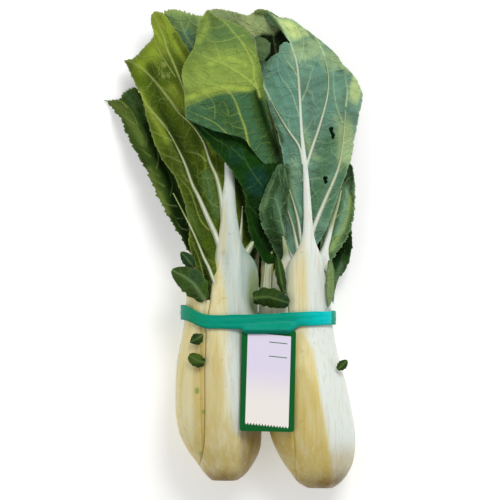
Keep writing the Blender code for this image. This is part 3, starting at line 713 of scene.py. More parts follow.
class Board:
    """A node tree with short calls that add nodes and join them."""

    def __init__(self, tree: bpy.types.NodeTree) -> None:
        """Hold the tree."""
        self.tree = tree

    def add(self, kind: str, **settings: object) -> bpy.types.Node:
        """Add a node and set its properties.

        Args:
            kind: The node's type.
            **settings: Its properties.

        Returns:
            The node.
        """
        node = self.tree.nodes.new(kind)
        for key, value in settings.items():
            setattr(node, key, value)
        return node

    def join(self, value: object, socket: Socket) -> None:
        """Link a socket, or set a plain value.

        Args:
            value: A socket, a number or a colour.
            socket: The input that takes it.
        """
        if isinstance(value, Socket):
            self.tree.links.new(value, socket)
        else:
            socket.default_value = value

    def mask(self, tint: Tint) -> Socket:
        """Read a painted mask."""
        return self.add("ShaderNodeAttribute", attribute_name=tint.value).outputs["Fac"]

    def mix(self, factor: object, first: object, second: object) -> Socket:
        """Blend two colours.

        Args:
            factor: Share of the second colour.
            first: First colour.
            second: Second colour.

        Returns:
            The blend.
        """
        node = self.add("ShaderNodeMix", data_type="RGBA")
        for value, socket in ((factor, node.inputs[0]), (first, node.inputs[6]), (second, node.inputs[7])):
            self.join(value, socket)
        return node.outputs[2]

    def maths(self, operation: str, first: object, second: object = 0.0,
              clamp: bool = False) -> Socket:
        """Work out a value from one or two others.

        Args:
            operation: Name of the sum.
            first: First value.
            second: Second value.
            clamp: Whether the result is kept from 0 to 1.

        Returns:
            The result.
        """
        node = self.add("ShaderNodeMath", operation=operation, use_clamp=clamp)
        self.join(first, node.inputs[0])
        self.join(second, node.inputs[1])
        return node.outputs[0]

    def times(self, first: object, second: object, clamp: bool = False) -> Socket:
        """Multiply two values."""
        return self.maths("MULTIPLY", first, second, clamp)

    def plus(self, first: object, second: object) -> Socket:
        """Add two values."""
        return self.maths("ADD", first, second)

    def near(self, value: object, middle: float, reach: float) -> Socket:
        """Tell where a value lies within reach of a middle one."""
        return self.maths("LESS_THAN", self.maths("ABSOLUTE", self.maths("SUBTRACT", value, middle)), reach)

    def spread(self, value: object, low: float, high: float, to_low: float = 0.0,
               to_high: float = 1.0) -> Socket:
        """Stretch a value from one range to another, kept within it.

        Args:
            value: The value.
            low: Start of its range.
            high: End of its range.
            to_low: Start of the new range.
            to_high: End of the new range.

        Returns:
            The new value.
        """
        node = self.add("ShaderNodeMapRange", interpolation_type="SMOOTHSTEP")
        for number, socket in zip((value, low, high, to_low, to_high), list(node.inputs)[:5]):
            self.join(number, socket)
        return node.outputs[0]

    def noise(self, vector: Socket, scale: float, detail: float = 3.0) -> Socket:
        """Read soft noise.

        Args:
            vector: Coordinates.
            scale: Cells in a metre.
            detail: Finer layers.

        Returns:
            The noise, from 0 to 1.
        """
        node = self.add("ShaderNodeTexNoise")
        self.join(vector, node.inputs["Vector"])
        node.inputs["Scale"].default_value = scale
        node.inputs["Detail"].default_value = detail
        return node.outputs["Fac"]

    def stretched(self, vector: Socket, scale: tuple[float, float, float]) -> Socket:
        """Scale coordinates by a separate amount along each axis.

        Args:
            vector: Coordinates.
            scale: Amount for each axis.

        Returns:
            The new coordinates.
        """
        node = self.add("ShaderNodeMapping")
        self.join(vector, node.inputs["Vector"])
        node.inputs["Scale"].default_value = scale
        return node.outputs[0]


class Surface(Board):
    """A board on a new material, with its shader and its object's coordinates at hand."""

    def __init__(self, name: str) -> None:
        """Start the material."""
        self.material = bpy.data.materials.new(name)
        self.material.use_nodes = True
        super().__init__(self.material.node_tree)
        self.shader = self.tree.nodes["Principled BSDF"]
        self.place = self.add("ShaderNodeTexCoord").outputs["Object"]

    def complete(self, colour: object, rough: object, relief: object, strength: float, distance: float,
                 specular: float) -> Material:
        """Join colour, roughness and relief to the shader.

        Args:
            colour: Colour of the surface.
            rough: Its roughness.
            relief: Its height, which bumps the normals.
            strength: Share of the bump.
            distance: Depth of the bump in metres.
            specular: Level of the clear reflection.

        Returns:
            The material.
        """
        bump = self.add("ShaderNodeBump")
        bump.inputs["Strength"].default_value = strength
        bump.inputs["Distance"].default_value = distance
        self.join(relief, bump.inputs["Height"])
        self.join(colour, self.shader.inputs["Base Color"])
        self.join(rough, self.shader.inputs["Roughness"])
        self.join(bump.outputs["Normal"], self.shader.inputs["Normal"])
        self.shader.inputs["Specular IOR Level"].default_value = specular
        return self.material


def net_group() -> bpy.types.NodeTree:
    """Build the shared group of a leaf's small veins: a coarse net and a fine one, as masks.

    Returns:
        The group, built once.
    """
    if "leaf_net" in bpy.data.node_groups:
        return bpy.data.node_groups["leaf_net"]
    tree = bpy.data.node_groups.new("leaf_net", "ShaderNodeTree")
    tree.interface.new_socket("Vector", in_out="INPUT", socket_type="NodeSocketVector")
    tree.interface.new_socket("Cells", in_out="INPUT", socket_type="NodeSocketFloat")
    tree.interface.new_socket("Net", in_out="OUTPUT", socket_type="NodeSocketFloat")
    tree.interface.new_socket("Fine", in_out="OUTPUT", socket_type="NodeSocketFloat")
    board = Board(tree)
    entry, leave = board.add("NodeGroupInput"), board.add("NodeGroupOutput")
    warp = board.add("ShaderNodeTexNoise")
    board.join(entry.outputs["Vector"], warp.inputs["Vector"])
    warp.inputs["Scale"].default_value = 90.0
    shift = board.add("ShaderNodeVectorMath", operation="MULTIPLY_ADD")
    board.join(warp.outputs["Color"], shift.inputs[0])
    shift.inputs[1].default_value = (0.006, 0.006, 0.0)
    board.join(entry.outputs["Vector"], shift.inputs[2])
    flat = board.add("ShaderNodeVectorMath", operation="MULTIPLY")
    board.join(shift.outputs[0], flat.inputs[0])
    flat.inputs[1].default_value = (1.0, 1.0, 0.25)
    for factor, width, name in ((1.0, 0.075, "Net"), (3.6, 0.16, "Fine")):
        cells = board.add("ShaderNodeTexVoronoi", feature="DISTANCE_TO_EDGE")
        board.join(flat.outputs[0], cells.inputs["Vector"])
        board.join(board.times(entry.outputs["Cells"], factor), cells.inputs["Scale"])
        line = board.spread(cells.outputs["Distance"], 0.0, width, 1.0, 0.0)
        board.join(line, leave.inputs[name])
    return tree


@dataclass(frozen=True)
class LeafFinish:
    """Finish of a leaf: matt ground, lit and shaded patches, raised veins and a net of small ones."""

    name: str
    ground: Colour
    lit: Colour
    shade: Colour
    deep: Colour
    blue: Colour
    vein: Colour
    under: Colour
    roughness: float = 0.55
    cells: float = 125.0
    net: float = 0.16

    def material(self) -> Material:
        """Build the material.

        Returns:
            The material.
        """
        board = Surface(self.name)
        place = board.place
        net = board.add("ShaderNodeGroup", node_tree=net_group())
        board.join(place, net.inputs["Vector"])
        net.inputs["Cells"].default_value = self.cells
        broad = board.noise(place, 60.0, 4.0)
        grain = board.noise(place, 900.0, 2.0)
        darker = tuple(int(value * 0.80) for value in self.ground)
        colour = board.mix(board.spread(broad, 0.35, 0.65), linear(self.ground), linear(darker))
        # Painted light and shade: lit patches first, then blue-green painted shade, painted shade and deep
        # painted shade.
        colour = board.mix(board.mask(LIT), colour, linear(self.lit))
        colour = board.mix(board.mask(BLUE), colour, linear(self.blue))
        colour = board.mix(board.mask(SHADE), colour, linear(self.shade))
        colour = board.mix(board.mask(DEEP), colour, linear(self.deep))
        # The vein net fades under the deep painted shade.
        shown = board.spread(board.mask(DEEP), 0.0, 1.0, 1.0, 0.2)
        lines = board.times(net.outputs["Net"], board.spread(broad, 0.3, 0.7, 0.4, 1.0))
        lines = board.times(lines, shown)
        colour = board.mix(board.times(lines, self.net), colour, linear(self.vein))
        fine = board.times(board.times(net.outputs["Fine"], shown), 0.35 * self.net)
        colour = board.mix(fine, colour, linear(self.vein))
        speck = board.spread(grain, 0.56, 0.74, 0.0, 0.22)
        colour = board.mix(speck, colour, linear(tuple(int(value * 0.6) for value in self.ground)))
        colour = board.mix(board.times(board.mask(UNDER), 0.8), colour, linear(self.under))
        colour = board.mix(board.times(board.mask(RIM), 0.35), colour, linear(self.vein))
        # Water drops: lightened toward the vein colour as a painted glint; their gloss is set below.
        colour = board.mix(board.times(board.mask(WET), 0.4), colour, linear(self.vein))
        colour = board.mix(board.mask(VEIN), colour, linear(self.vein))
        rough = board.spread(broad, 0.3, 0.7, self.roughness - 0.06, self.roughness + 0.08)
        rough = board.maths("SUBTRACT", rough, board.times(board.mask(WET), 0.45), clamp=True)
        relief = board.plus(board.times(net.outputs["Net"], 0.9),
                             board.times(net.outputs["Fine"], 0.25))
        relief = board.plus(relief, board.times(broad, 1.2))
        relief = board.plus(relief, board.times(grain, 0.25))
        return board.complete(colour, rough, relief, 0.5, 0.0012, 0.06)


@dataclass(frozen=True)
class StalkFinish:
    """Finish of the stalks: waxy white to cream flesh with lengthwise strands and bruised edges, with painted
    shade carried by its cool tint and, on shaded faces, by its tan and brown tints.
    """

    name: str = "stalk"
    white: Colour = (230, 236, 228)
    cool_shade: Colour = (150, 172, 160)
    cream: Colour = (224, 207, 132)
    tan: Colour = (188, 162, 80)
    brown: Colour = (118, 90, 44)
    green: Colour = (134, 156, 70)

    def material(self) -> Material:
        """Build the material.

        Returns:
            The material.
        """
        board = Surface(self.name)
        place = board.place
        strands = board.noise(board.stretched(place, (1.0, 0.05, 1.0)), 620.0, 3.0)
        wide = board.noise(board.stretched(place, (1.0, 0.14, 1.0)), 150.0, 3.0)
        mottle = board.noise(place, 240.0, 4.0)
        colour = linear(self.white)
        # The cool tint is painted shade. Tan and brown are real browning near the cut, and also painted shade
        # on shaded faces.
        tones = (self.cool_shade, self.cream, self.tan, self.green, self.brown)
        for tint, tone in zip(STALK_TINTS, tones):
            uneven = board.times(board.mask(tint), board.spread(wide, 0.25, 0.75, 0.72, 1.12), clamp=True)
            colour = board.mix(uneven, colour, linear(tone))
        colour = board.mix(board.spread(strands, 0.5, 0.72, 0.0, 0.24), colour, linear(self.tan))
        colour = board.mix(board.spread(strands, 0.28, 0.46, 0.20, 0.0), colour, linear(self.white))
        colour = board.mix(board.spread(mottle, 0.62, 0.76, 0.0, 0.20), colour, linear(self.brown))
        rough = board.spread(mottle, 0.3, 0.7, 0.30, 0.46)
        relief = board.plus(board.times(strands, 0.7), board.times(wide, 0.9))
        relief = board.plus(relief, board.times(mottle, 0.2))
        board.shader.inputs["Subsurface Weight"].default_value = 0.12
        board.shader.inputs["Subsurface Scale"].default_value = 0.004
        return board.complete(colour, rough, relief, 0.40, 0.0008, 0.16)


@dataclass(frozen=True)
class ButtFinish:
    """Finish of the cut butts: dried flesh with brown flecks."""

    name: str = "butt"
    flesh: Colour = (190, 165, 108)
    dried: Colour = (112, 84, 46)

    def material(self) -> Material:
        """Build the material.

        Returns:
            The material.
        """
        board = Surface(self.name)
        place = board.place
        flecks = board.noise(place, 520.0, 5.0)
        broad = board.noise(place, 140.0, 3.0)
        colour = board.mix(board.spread(flecks, 0.42, 0.64), linear(self.flesh), linear(self.dried))
        colour = board.mix(board.spread(broad, 0.5, 0.7, 0.0, 0.5), colour, linear(self.dried))
        rough = board.spread(flecks, 0.3, 0.7, 0.55, 0.8)
        return board.complete(colour, rough, flecks, 0.6, 0.0008, 0.5)


@dataclass(frozen=True)
class BandFinish:
    """Finish of the tie band: stretched teal rubber, with a painted highlight at the right and painted shade
    over the tag.
    """

    name: str = "band"
    teal: Colour = (0, 148, 122)
    bright: Colour = (0, 204, 202)
    greener: Colour = (14, 146, 106)
    dark: Colour = (0, 84, 68)

    def material(self) -> Material:
        """Build the material.

        Returns:
            The material.
        """
        board = Surface(self.name)
        place = board.place
        pulled = board.noise(board.stretched(place, (0.16, 1.0, 0.5)), 800.0, 3.0)
        broad = board.noise(board.stretched(place, (0.5, 1.0, 1.0)), 120.0, 3.0)
        colour = linear(self.teal)
        # The lit mask paints the highlight and the shade mask the painted shade; the greener tint is colour.
        for tint, tone in ((LIT, self.bright), (GREEN, self.greener), (SHADE, self.dark)):
            colour = board.mix(board.mask(tint), colour, linear(tone))
        colour = board.mix(board.spread(pulled, 0.5, 0.75, 0.0, 0.28), colour, linear(self.dark))
        colour = board.mix(board.spread(broad, 0.55, 0.75, 0.0, 0.25), colour, linear(self.greener))
        rough = board.spread(broad, 0.3, 0.7, 0.32, 0.48)
        return board.complete(colour, rough, pulled, 0.35, 0.0005, 0.08)


@dataclass(frozen=True)
class TagFinish:
    """Finish of the tag: white card panel in a green border, its lower edge finely toothed."""

    name: str = "tag"
    border: Colour = (0, 92, 36)
    upper: Colour = (226, 218, 238)
    lower: Colour = (242, 237, 230)
    half: Place = (0.0148, 0.0314)
    middle: Place = (268.0, 379.6)
    turn: float = -1.7
    skew: float = 0.072

    def material(self) -> Material:
        """Build the material: the panel is a skewed box in the tag's own turned coordinates.

        Returns:
            The material.
        """
        board = Surface(self.name)
        place = board.place
        centred = board.add("ShaderNodeMapping", vector_type="TEXTURE")
        board.join(place, centred.inputs["Vector"])
        x, y = front(self.middle[0], self.middle[1])
        centred.inputs["Location"].default_value = (x, y, 0.0)
        centred.inputs["Rotation"].default_value = (0.0, 0.0, math.radians(self.turn))
        parts = board.add("ShaderNodeSeparateXYZ")
        board.join(centred.outputs[0], parts.inputs[0])
        wide = parts.outputs[0]
        long = board.plus(parts.outputs[1], board.times(wide, self.skew))
        teeth = board.times(board.maths("PINGPONG", wide, 0.0010), 1.6)
        foot = board.plus(teeth, -self.half[1])
        within = board.near(wide, 0.0, self.half[0])
        within = board.times(within, board.maths("GREATER_THAN", long, foot))
        within = board.times(within, board.maths("LESS_THAN", long, self.half[1]))
        fibre = board.noise(place, 1500.0, 4.0)
        panel = board.mix(board.spread(long, -0.018, 0.012), linear(self.lower), linear(self.upper))
        for at in (0.0262, 0.0166):
            rule = board.near(long, at, 0.00028)
            panel = board.mix(board.times(rule, board.near(wide, 0.0062, 0.0062)), panel, linear(self.border))
        colour = board.mix(within, linear(self.border), panel)
        colour = board.mix(board.spread(fibre, 0.5, 0.8, 0.0, 0.05), colour, linear((150, 150, 154)))
        rough = board.spread(fibre, 0.3, 0.7, 0.42, 0.56)
        return board.complete(colour, rough, fibre, 0.15, 0.0002, 0.12)


# Leaf blades


@dataclass(frozen=True)
class Blade:
    """A leaf blade: an arched sheet with waved edges, pleats between its ribs and raised veins."""

    node: str
    slot: str
    finish: LeafFinish
    outline: tuple[tuple[Place, ...], ...]
    height: Height
    size: tuple[int, int]
    wave: Place
    ribs: tuple[tuple[Place, ...], ...] = ()
    veins: tuple[Vein, ...] = ()
    # Painted light and shade: lit, shaded, deep-shaded and blue-shaded areas.
    patches: tuple[Patch | Streak | Region, ...] = ()
    folds: tuple[Fold, ...] = ()
    tuck: tuple[Place, ...] = ()
    holes: tuple[tuple[Place, ...], ...] = ()
    drops: tuple[tuple[float, float, float], ...] = ()
    pleat: float = 1.3
    pucker: float = 0.40
    teeth: float = 0.45
    seed: int = 1

    def toothed(self, grid: Array, u: Array, v: Array) -> Array:
        """Push the margins in and out by small uneven steps: plane waves along each edge.

        Args:
            grid: Places of the blade, rows x columns x 2.
            u: Share from left to right.
            v: Share from base to top.

        Returns:
            The moved places.
        """
        rng = np.random.default_rng(self.seed)
        shift = np.zeros_like(grid)
        for weight, steps, away in (
                (np.clip(1 - 2 * u, 0, 1) ** 9, v, grid[:, :1] - grid[:, 4:5]),
                (np.clip(2 * u - 1, 0, 1) ** 9, v, grid[:, -1:] - grid[:, -5:-4]),
                (v ** 24, u, grid[-1:] - grid[-5:-4])):
            away = away / (np.linalg.norm(away, axis=2, keepdims=True) + 1e-9)
            size = sum(np.sin(2 * math.pi * beat * steps + phase) for beat, phase in
                       zip((9.3, 17.1, 31.7, 47.9), rng.uniform(0, 6.3, 4)))
            shift = shift + (self.teeth * weight * size)[..., None] * away
        return grid + shift

    def body(self) -> Body:
        """Build the blade.

        The height is the leaf's own, plus waves that grow as the fifth power toward the side
        edges, less pleats that deepen away from the ribs, plus bells over the veins.

        Returns:
            The closed blade with its painted masks.
        """
        columns, rows = self.size
        u = np.linspace(0.0, 1.0, columns)[None, :]
        v = np.linspace(0.0, 1.0, rows)[:, None]
        grid = self.toothed(coons_patch(self.outline, columns, rows), u, v)
        across, down = grid[..., 0], grid[..., 1]
        depth, count = self.wave
        edge = np.abs(2 * u - 1) ** 5 * ease(v / 0.2)
        ripple = depth * edge * np.sin(2 * math.pi * count * v + np.where(u < 0.5, 0.0, 1.9))
        ripple = ripple + 0.6 * depth * v ** 8 * np.sin(2 * math.pi * count * 0.7 * u + 0.8)
        gap = np.full(across.shape, 40.0)
        for rib in self.ribs:
            gap = np.minimum(gap, path_field(across, down, smooth_path(rib, 8 * len(rib)))[0])
        vein, rise = np.zeros(across.shape), np.zeros(across.shape)
        for line in self.veins:
            field = line.field(across, down)
            vein = np.maximum(vein, line.tone * field)
            rise = np.maximum(rise, line.rise * field)
        open_part = 1.0 - np.exp(-(gap / 5.0) ** 2)
        sink = self.pleat * (1.0 - np.exp(-(gap / 10.0) ** 2))
        bulge = self.pucker * open_part * (1.0 - 0.8 * vein) * (
            swell(across, down, 17.0, self.seed) + 0.5 * swell(across, down, 8.0, self.seed + 7))
        masks = paint(self.patches, LEAF_TINTS, across, down)
        masks[VEIN] = 0.9 * vein
        width = np.linalg.norm(grid[:, -1] - grid[:, 0], axis=1)[:, None]
        rim = np.minimum(np.minimum(u, 1 - u) * width, (1 - v) * 120.0)
        masks[RIM] = np.exp(-(rim / 1.1) ** 2)
        masks[WET] = np.zeros(across.shape)
        bead = np.zeros(across.shape)
        # Water drops: raised beads whose mask gives them a glossier finish and a painted glint.
        for drop_a, drop_d, radius in self.drops:
            dome = np.sqrt(np.clip(1.0 - ((across - drop_a) ** 2 + (down - drop_d) ** 2) / radius ** 2, 0, 1))
            bead = np.maximum(bead, 0.8 * dome)
            masks[WET] = np.maximum(masks[WET], (dome > 0.0).astype(float))
        x, y = front(across, down)
        z = self.height(across, down) + ripple - sink + bulge + rise + bead
        for fold in self.folds:
            z = z + fold.lift(across, down)
        if self.tuck:
            line = np.array(self.tuck)
            beyond = across - np.interp(down, line[:, 1], line[:, 0])
            z = z - 8.0 * ease(beyond / 9.0)
        top = np.stack([x, y, np.maximum(z, 0.9) * MM], axis=-1)
        thickness = (0.35 + 0.40 * ease(rim / 6.0)) * MM
        keep = None
        if self.holes:
            centre = 0.25 * (grid[:-1, :-1] + grid[1:, :-1] + grid[:-1, 1:] + grid[1:, 1:])
            keep = np.ones(centre.shape[:2], dtype=bool)
            for hole in self.holes:
                keep &= ~inside(centre[..., 0], centre[..., 1], hole)
        return sheet_body(top, thickness, masks, keep)

    def make(self) -> None:
        """Add the blade to the scene."""
        add_piece(self.node + "_leaf", self.body(), self.finish.material(), self.node)


OLIVE = LeafFinish(
    "olive_leaf", (84, 108, 16), (146, 166, 50), (50, 72, 2), (14, 36, 0), (76, 110, 62), (172, 184, 104),
    (40, 66, 16), 0.5)
DARK_OLIVE = LeafFinish(
    "dark_olive_leaf", (60, 88, 26), (108, 126, 56), (30, 58, 8), (8, 34, 0), (50, 80, 46), (122, 142, 70),
    (34, 58, 18), 0.55)
BLUE_LEAF = LeafFinish(
    "blue_leaf", (128, 158, 96), (154, 178, 92), (44, 72, 28), (18, 40, 8), (84, 122, 94), (160, 180, 112),
    (36, 64, 24), 0.55)
GREY = LeafFinish("grey_leaf", (144, 164, 110), (172, 190, 122), (52, 78, 12), (4, 22, 0), (112, 134, 102),
    (176, 184, 126), (46, 70, 28), 0.65)
# Near-black green of the fold's face: partly the leaf's own darker face, partly painted shade.
DARK = LeafFinish("dark_leaf", (18, 60, 6), (50, 88, 12), (8, 40, 6), (2, 26, 2), (18, 60, 46), (80, 116, 56),
    (74, 110, 60), 0.5, 130, 0.1)
LIT_LEAF = LeafFinish(
    "lit_leaf", (106, 136, 70), (158, 180, 76), (44, 76, 20), (16, 42, 2), (64, 106, 72), (164, 184, 86),
    (24, 56, 12), 0.52)
BLUE_GREEN = LeafFinish(
    "blue_green_leaf", (110, 152, 128), (200, 220, 142), (72, 114, 78), (28, 60, 6), (96, 142, 124),
    (180, 208, 160), (36, 72, 28), 0.55)
MID = LeafFinish(
    "mid_leaf", (72, 108, 72), (112, 144, 92), (36, 64, 26), (14, 36, 8), (84, 122, 98), (142, 172, 116),
    (36, 66, 26), 0.55)
RIGHT = LeafFinish("right_leaf", (102, 140, 98), (152, 178, 100), (48, 82, 34), (14, 42, 8), (120, 162, 134),
    (160, 186, 122), (36, 66, 26), 0.55)
BACK = LeafFinish(
    "back_leaf", (40, 76, 32), (96, 130, 90), (20, 50, 10), (6, 28, 2), (54, 88, 54), (110, 138, 80),
    (32, 58, 20), 0.55)
SMALL = LeafFinish(
    "small_leaf", (44, 72, 20), (84, 110, 32), (24, 46, 8), (10, 26, 2), (26, 56, 36), (92, 118, 60),
    (36, 62, 18), 0.5)


# Ribs that the stalks send along the blades


LEFT_MAIN = ((232, 232), (230, 205), (230, 175), (227, 140))
LEFT_SHORT = ((236, 266), (238.6, 248), (240.2, 234), (241.6, 220), (242.6, 206))
LEFT_FORK = ((239, 268), (245, 255), (252, 244), (262, 228))
LEFT_INNER = ((229, 238), (224, 222), (221.5, 200), (217, 179), (210, 162), (203.6, 142),
              (192, 125), (178.5, 112), (168, 98))
LEFT_LOWER = ((222, 254), (216, 236), (206, 214), (199, 198), (192, 184), (184, 162), (171, 136), (160, 120))
LEFT_THIRD = ((221, 298), (214, 282), (209, 268), (203.6, 257), (194, 234), (184, 214), (173, 193))
OUTER_MAIN = ((190, 234), (180, 212), (165, 190), (152, 160), (140, 130), (126, 103))
BACK_MAIN = ((205.5, 246), (204, 215), (200, 180), (192, 130), (184, 85), (179, 50))
FAR_MAIN = ((248.5, 246), (249, 215), (251, 180), (253, 130), (254, 85))
RIGHT_MAIN = ((308, 234), (307, 200), (305, 168), (301.5, 130), (299, 90), (296.5, 64), (291, 46))
RIGHT_SHORT = ((305, 256), (301, 238), (298, 220), (292.5, 200), (288, 186))
RIGHT_THIRD = ((301, 264), (296.5, 243), (292.5, 225), (288.5, 213), (286, 206))
RIGHT_INNER = ((303, 165), (299, 147), (289, 132), (279, 116), (268, 96))
RIGHT_OUTER = ((304, 182), (306.5, 166), (312, 148), (320, 124), (327, 97), (328, 76), (324, 56))
RIGHT_EDGE = ((308, 246), (313, 229), (325, 200), (338, 169), (343, 143), (346, 106))
RUFFLE_LEFT = ((286, 252), (283, 232), (279, 212), (275, 195))
RUFFLE_RIGHT = ((327, 243), (332, 226), (338, 205), (342, 186))
RIGHT_BACK = ((308, 246), (308, 215), (309, 180), (311, 130), (313, 92))


def fine(*points: Place) -> Vein:
    """Make a small vein through places."""
    return Vein(points, (1.1, 0.7), 0.4, 0.45)


def branch(*points: Place) -> Vein:
    """Make a side vein through places."""
    return Vein(points, (1.4, 0.8), 0.6, 0.7)


# Blades of the left head
LEFT_FRONT_BLADE = Blade("left_front_blade", "olive_leaf", OLIVE,
    (((206.5, 298), (198, 285), (195, 264), (189, 245), (188, 220), (177, 182), (160, 156),
            (149, 128), (141, 97), (132, 78), (123.5, 58.5)),
        ((209, 298), (216, 284), (232, 272), (248, 254), (256, 226), (252, 195), (246, 160), (234, 118),
            (210, 82), (190, 52), (176, 30), (162, 11)),
        ((206.5, 298), (207.7, 298.6), (209, 298)),
        ((123.5, 58.5), (133, 56), (144, 45), (153, 34), (150, 19), (153, 10.5), (162, 11))),
    left_front_height, (148, 222), (1.3, 5),
    ribs=(LEFT_MAIN, LEFT_INNER, LEFT_LOWER, LEFT_THIRD, ((185, 92), (172, 60), (162, 34), (153, 14))),
    veins=(Vein(((184, 214), (172, 192), (161, 164), (152, 146)), (2.4, 1.2), 0.6),
        Vein(((180, 113), (166, 95), (153, 79), (140, 66), (124, 58)), (2.6, 1.3), 0.6),
        Vein(((166, 128), (158, 118), (145, 103), (138, 88)), (2.4, 1.2), 0.6),
        Vein(((187, 96), (178, 74), (172, 60), (166, 46), (162, 34), (153, 13)), (2.6, 1.4), 0.7),
        branch((175, 76), (167, 64), (159, 51), (154, 39)),
        fine((171, 72), (162, 72), (153, 60), (147, 54)), fine((178, 93), (172, 84), (165, 80)),
        fine((158, 70), (160, 62), (158, 56)), fine((154, 77), (144, 89), (134, 84)),
        branch((174, 141), (158, 134), (147, 128)), fine((158, 117), (150, 118), (144, 113)),
        fine((190, 127), (184, 137), (173, 134)), branch((206, 161), (198, 154), (184, 151)),
        fine((184, 163), (170, 157), (159, 153)),
        branch((212, 232), (204, 225), (199, 217), (195, 205), (190, 191), (182, 181), (175, 172)),
        fine((214, 178), (205, 178), (200, 170)), fine((219, 208), (210, 202), (204, 192)),
        fine((203, 206), (196, 196), (191, 186)), fine((194, 186), (185, 178), (180, 168)),
        fine((192, 228), (186, 214), (178, 205)), fine((181, 214), (176, 198), (168, 186)),
        branch((206, 292), (202, 270), (197, 254), (192, 244)), fine((163, 38), (170, 44), (176, 54)),
        fine((157, 22), (163, 26), (168, 32)), fine((169, 100), (162, 98), (152, 102)),
        fine((160, 86), (168, 90), (176, 96))),
    folds=(Fold(((150, 64), (155, 88), (163, 110), (176, 136), (188, 160), (199, 188), (209, 216)), 7, -2.2),
        Fold(((140, 92), (152, 114), (166, 138), (180, 164), (192, 192), (204, 222)), 4, 1),
        Fold(((178, 46), (190, 74), (204, 104), (218, 134), (226, 160)), 8, -1.8),
        Fold(((166, 40), (178, 70), (190, 98), (206, 128), (214, 150)), 5, 0.9),
        Fold(((153, 160), (166, 186), (180, 214), (196, 244)), 4, -1.8)),
    # Painted light on the ridges, and painted shade in the valleys and beside the leaves it meets.
    patches=(Streak(LIT, ((152, 20), (158, 36), (156, 50), (142, 64)), (12, 9), 0.8),
        Streak(LIT, ((165, 14), (172, 36), (184, 58)), (6, 4), 0.8),
        Streak(LIT, ((140, 92), (151, 114), (165, 138), (178, 164), (190, 192)), (3.2, 3), 0.7),
        Streak(LIT, ((172, 88), (187, 110), (203, 132), (212, 152)), (5, 3.5), 0.75),
        Streak(LIT, ((203, 150), (205, 168), (204, 186), (207, 202)), (1.6, 1.2), 0.45),
        Streak(SHADE, ((150, 66), (155, 88), (163, 110), (176, 134), (188, 158), (199, 186), (210, 216)),
            (6, 5.5), 0.9),
        Streak(DEEP, ((160, 110), (172, 132), (185, 156), (195, 180), (203, 206)), (2, 3), 0.55),
        Streak(LIT, ((176, 94), (185, 108), (194, 120)), (6, 5), 0.8),
        Streak(SHADE, ((170, 150), (184, 178), (198, 212), (204, 238)), (8, 6), 0.85),
        Streak(SHADE, ((194, 134), (199, 152), (201, 170), (196, 180)), (5, 4), 0.8),
        Streak(BLUE, ((206, 176), (209, 192), (215, 214)), (6, 5), 0.9),
        Streak(BLUE, ((172, 138), (180, 154), (189, 176)), (3.6, 3.4), 0.9),
        Streak(DEEP, ((237, 150), (239, 186), (246, 222), (247, 240)), (6, 5), 0.85),
        Streak(DEEP, ((168, 180), (180, 206), (196, 238), (206, 256)), (3, 3), 0.6),
        Streak(BLUE, ((186, 206), (194, 222), (202, 236)), (3, 2.4), 0.5),
        Streak(SHADE, ((174, 34), (186, 56), (200, 84)), (2.5, 2.5), 0.6),
        Region(SHADE, ((190, 244), (212, 250), (216, 300), (190, 300)), 8, 0.8),
        Streak(DEEP, ((204, 262), (207, 280), (208, 298)), (2.5, 2), 0.7),
        Patch(SHADE, (210, 237), (8, 15), 0.6)),
    drops=((163.5, 64, 2.8), (163, 76, 2.4), (168, 75.5, 2), (159, 73, 1.2)), pleat=1.6, teeth=0.25,
    pucker=0.55, seed=3)
LEFT_OUTER_BLADE = Blade("left_outer_blade", "dark_olive_leaf", DARK_OLIVE,
    (((189, 253), (181, 238), (170, 220), (157, 196), (146, 171), (127, 137), (119, 117), (103, 98.5)),
        ((197, 253), (195, 230), (184, 190), (167, 150), (150, 112), (140, 92), (132, 85.5)),
        ((189, 253), (193, 254), (197, 253)), ((103, 98.5), (118, 97), (122, 91), (132, 85.5))),
    left_outer_height, (80, 150), (1.1, 5), ribs=(OUTER_MAIN,),
    veins=(Vein(((126, 106), (118, 99), (106, 98)), (1.6, 0.9), 0.4),
        branch((137, 124), (130, 110), (121, 99)), branch((134, 124), (125, 117), (116, 110)),
        fine((142, 136), (136, 126), (134, 114)), branch((150, 156), (142, 150), (134, 146)),
        branch((156, 168), (158, 158), (156, 146)), branch((164, 186), (154, 180), (146, 172)),
        fine((170, 196), (172, 184), (168, 172)), branch((177, 206), (166, 204), (158, 196)),
        fine((184, 218), (176, 218), (170, 212)), fine((146, 146), (146, 136), (142, 128)),
        fine((159, 176), (152, 172), (146, 164)), branch((188, 230), (181, 228), (175, 220)),
        fine((186, 224), (188, 212), (184, 202))),
    folds=(Fold(((128, 96), (142, 122), (158, 154), (176, 192), (188, 226)), 6, -2),
        Fold(((116, 106), (130, 130), (148, 164), (164, 194)), 5, 0.8)),
    # Painted light and painted shade along the folds.
    patches=(Streak(LIT, ((110, 100), (122, 110), (134, 128), (142, 142)), (5, 4), 0.6),
        Streak(LIT, ((147, 170), (152, 180), (160, 196), (168, 212)), (4.2, 3), 1),
        Streak(BLUE, ((126, 92), (134, 104), (142, 118)), (5, 4), 0.7),
        Streak(SHADE, ((138, 110), (152, 136), (168, 170), (184, 212), (190, 240)), (6, 7), 0.9),
        Streak(DEEP, ((146, 124), (157, 148), (169, 182), (177, 212), (190, 240)), (5, 8), 1),
        Streak(DEEP, ((136, 148), (150, 176), (160, 188)), (3, 3), 0.4)),
    teeth=0.55, pucker=0.5, seed=5)
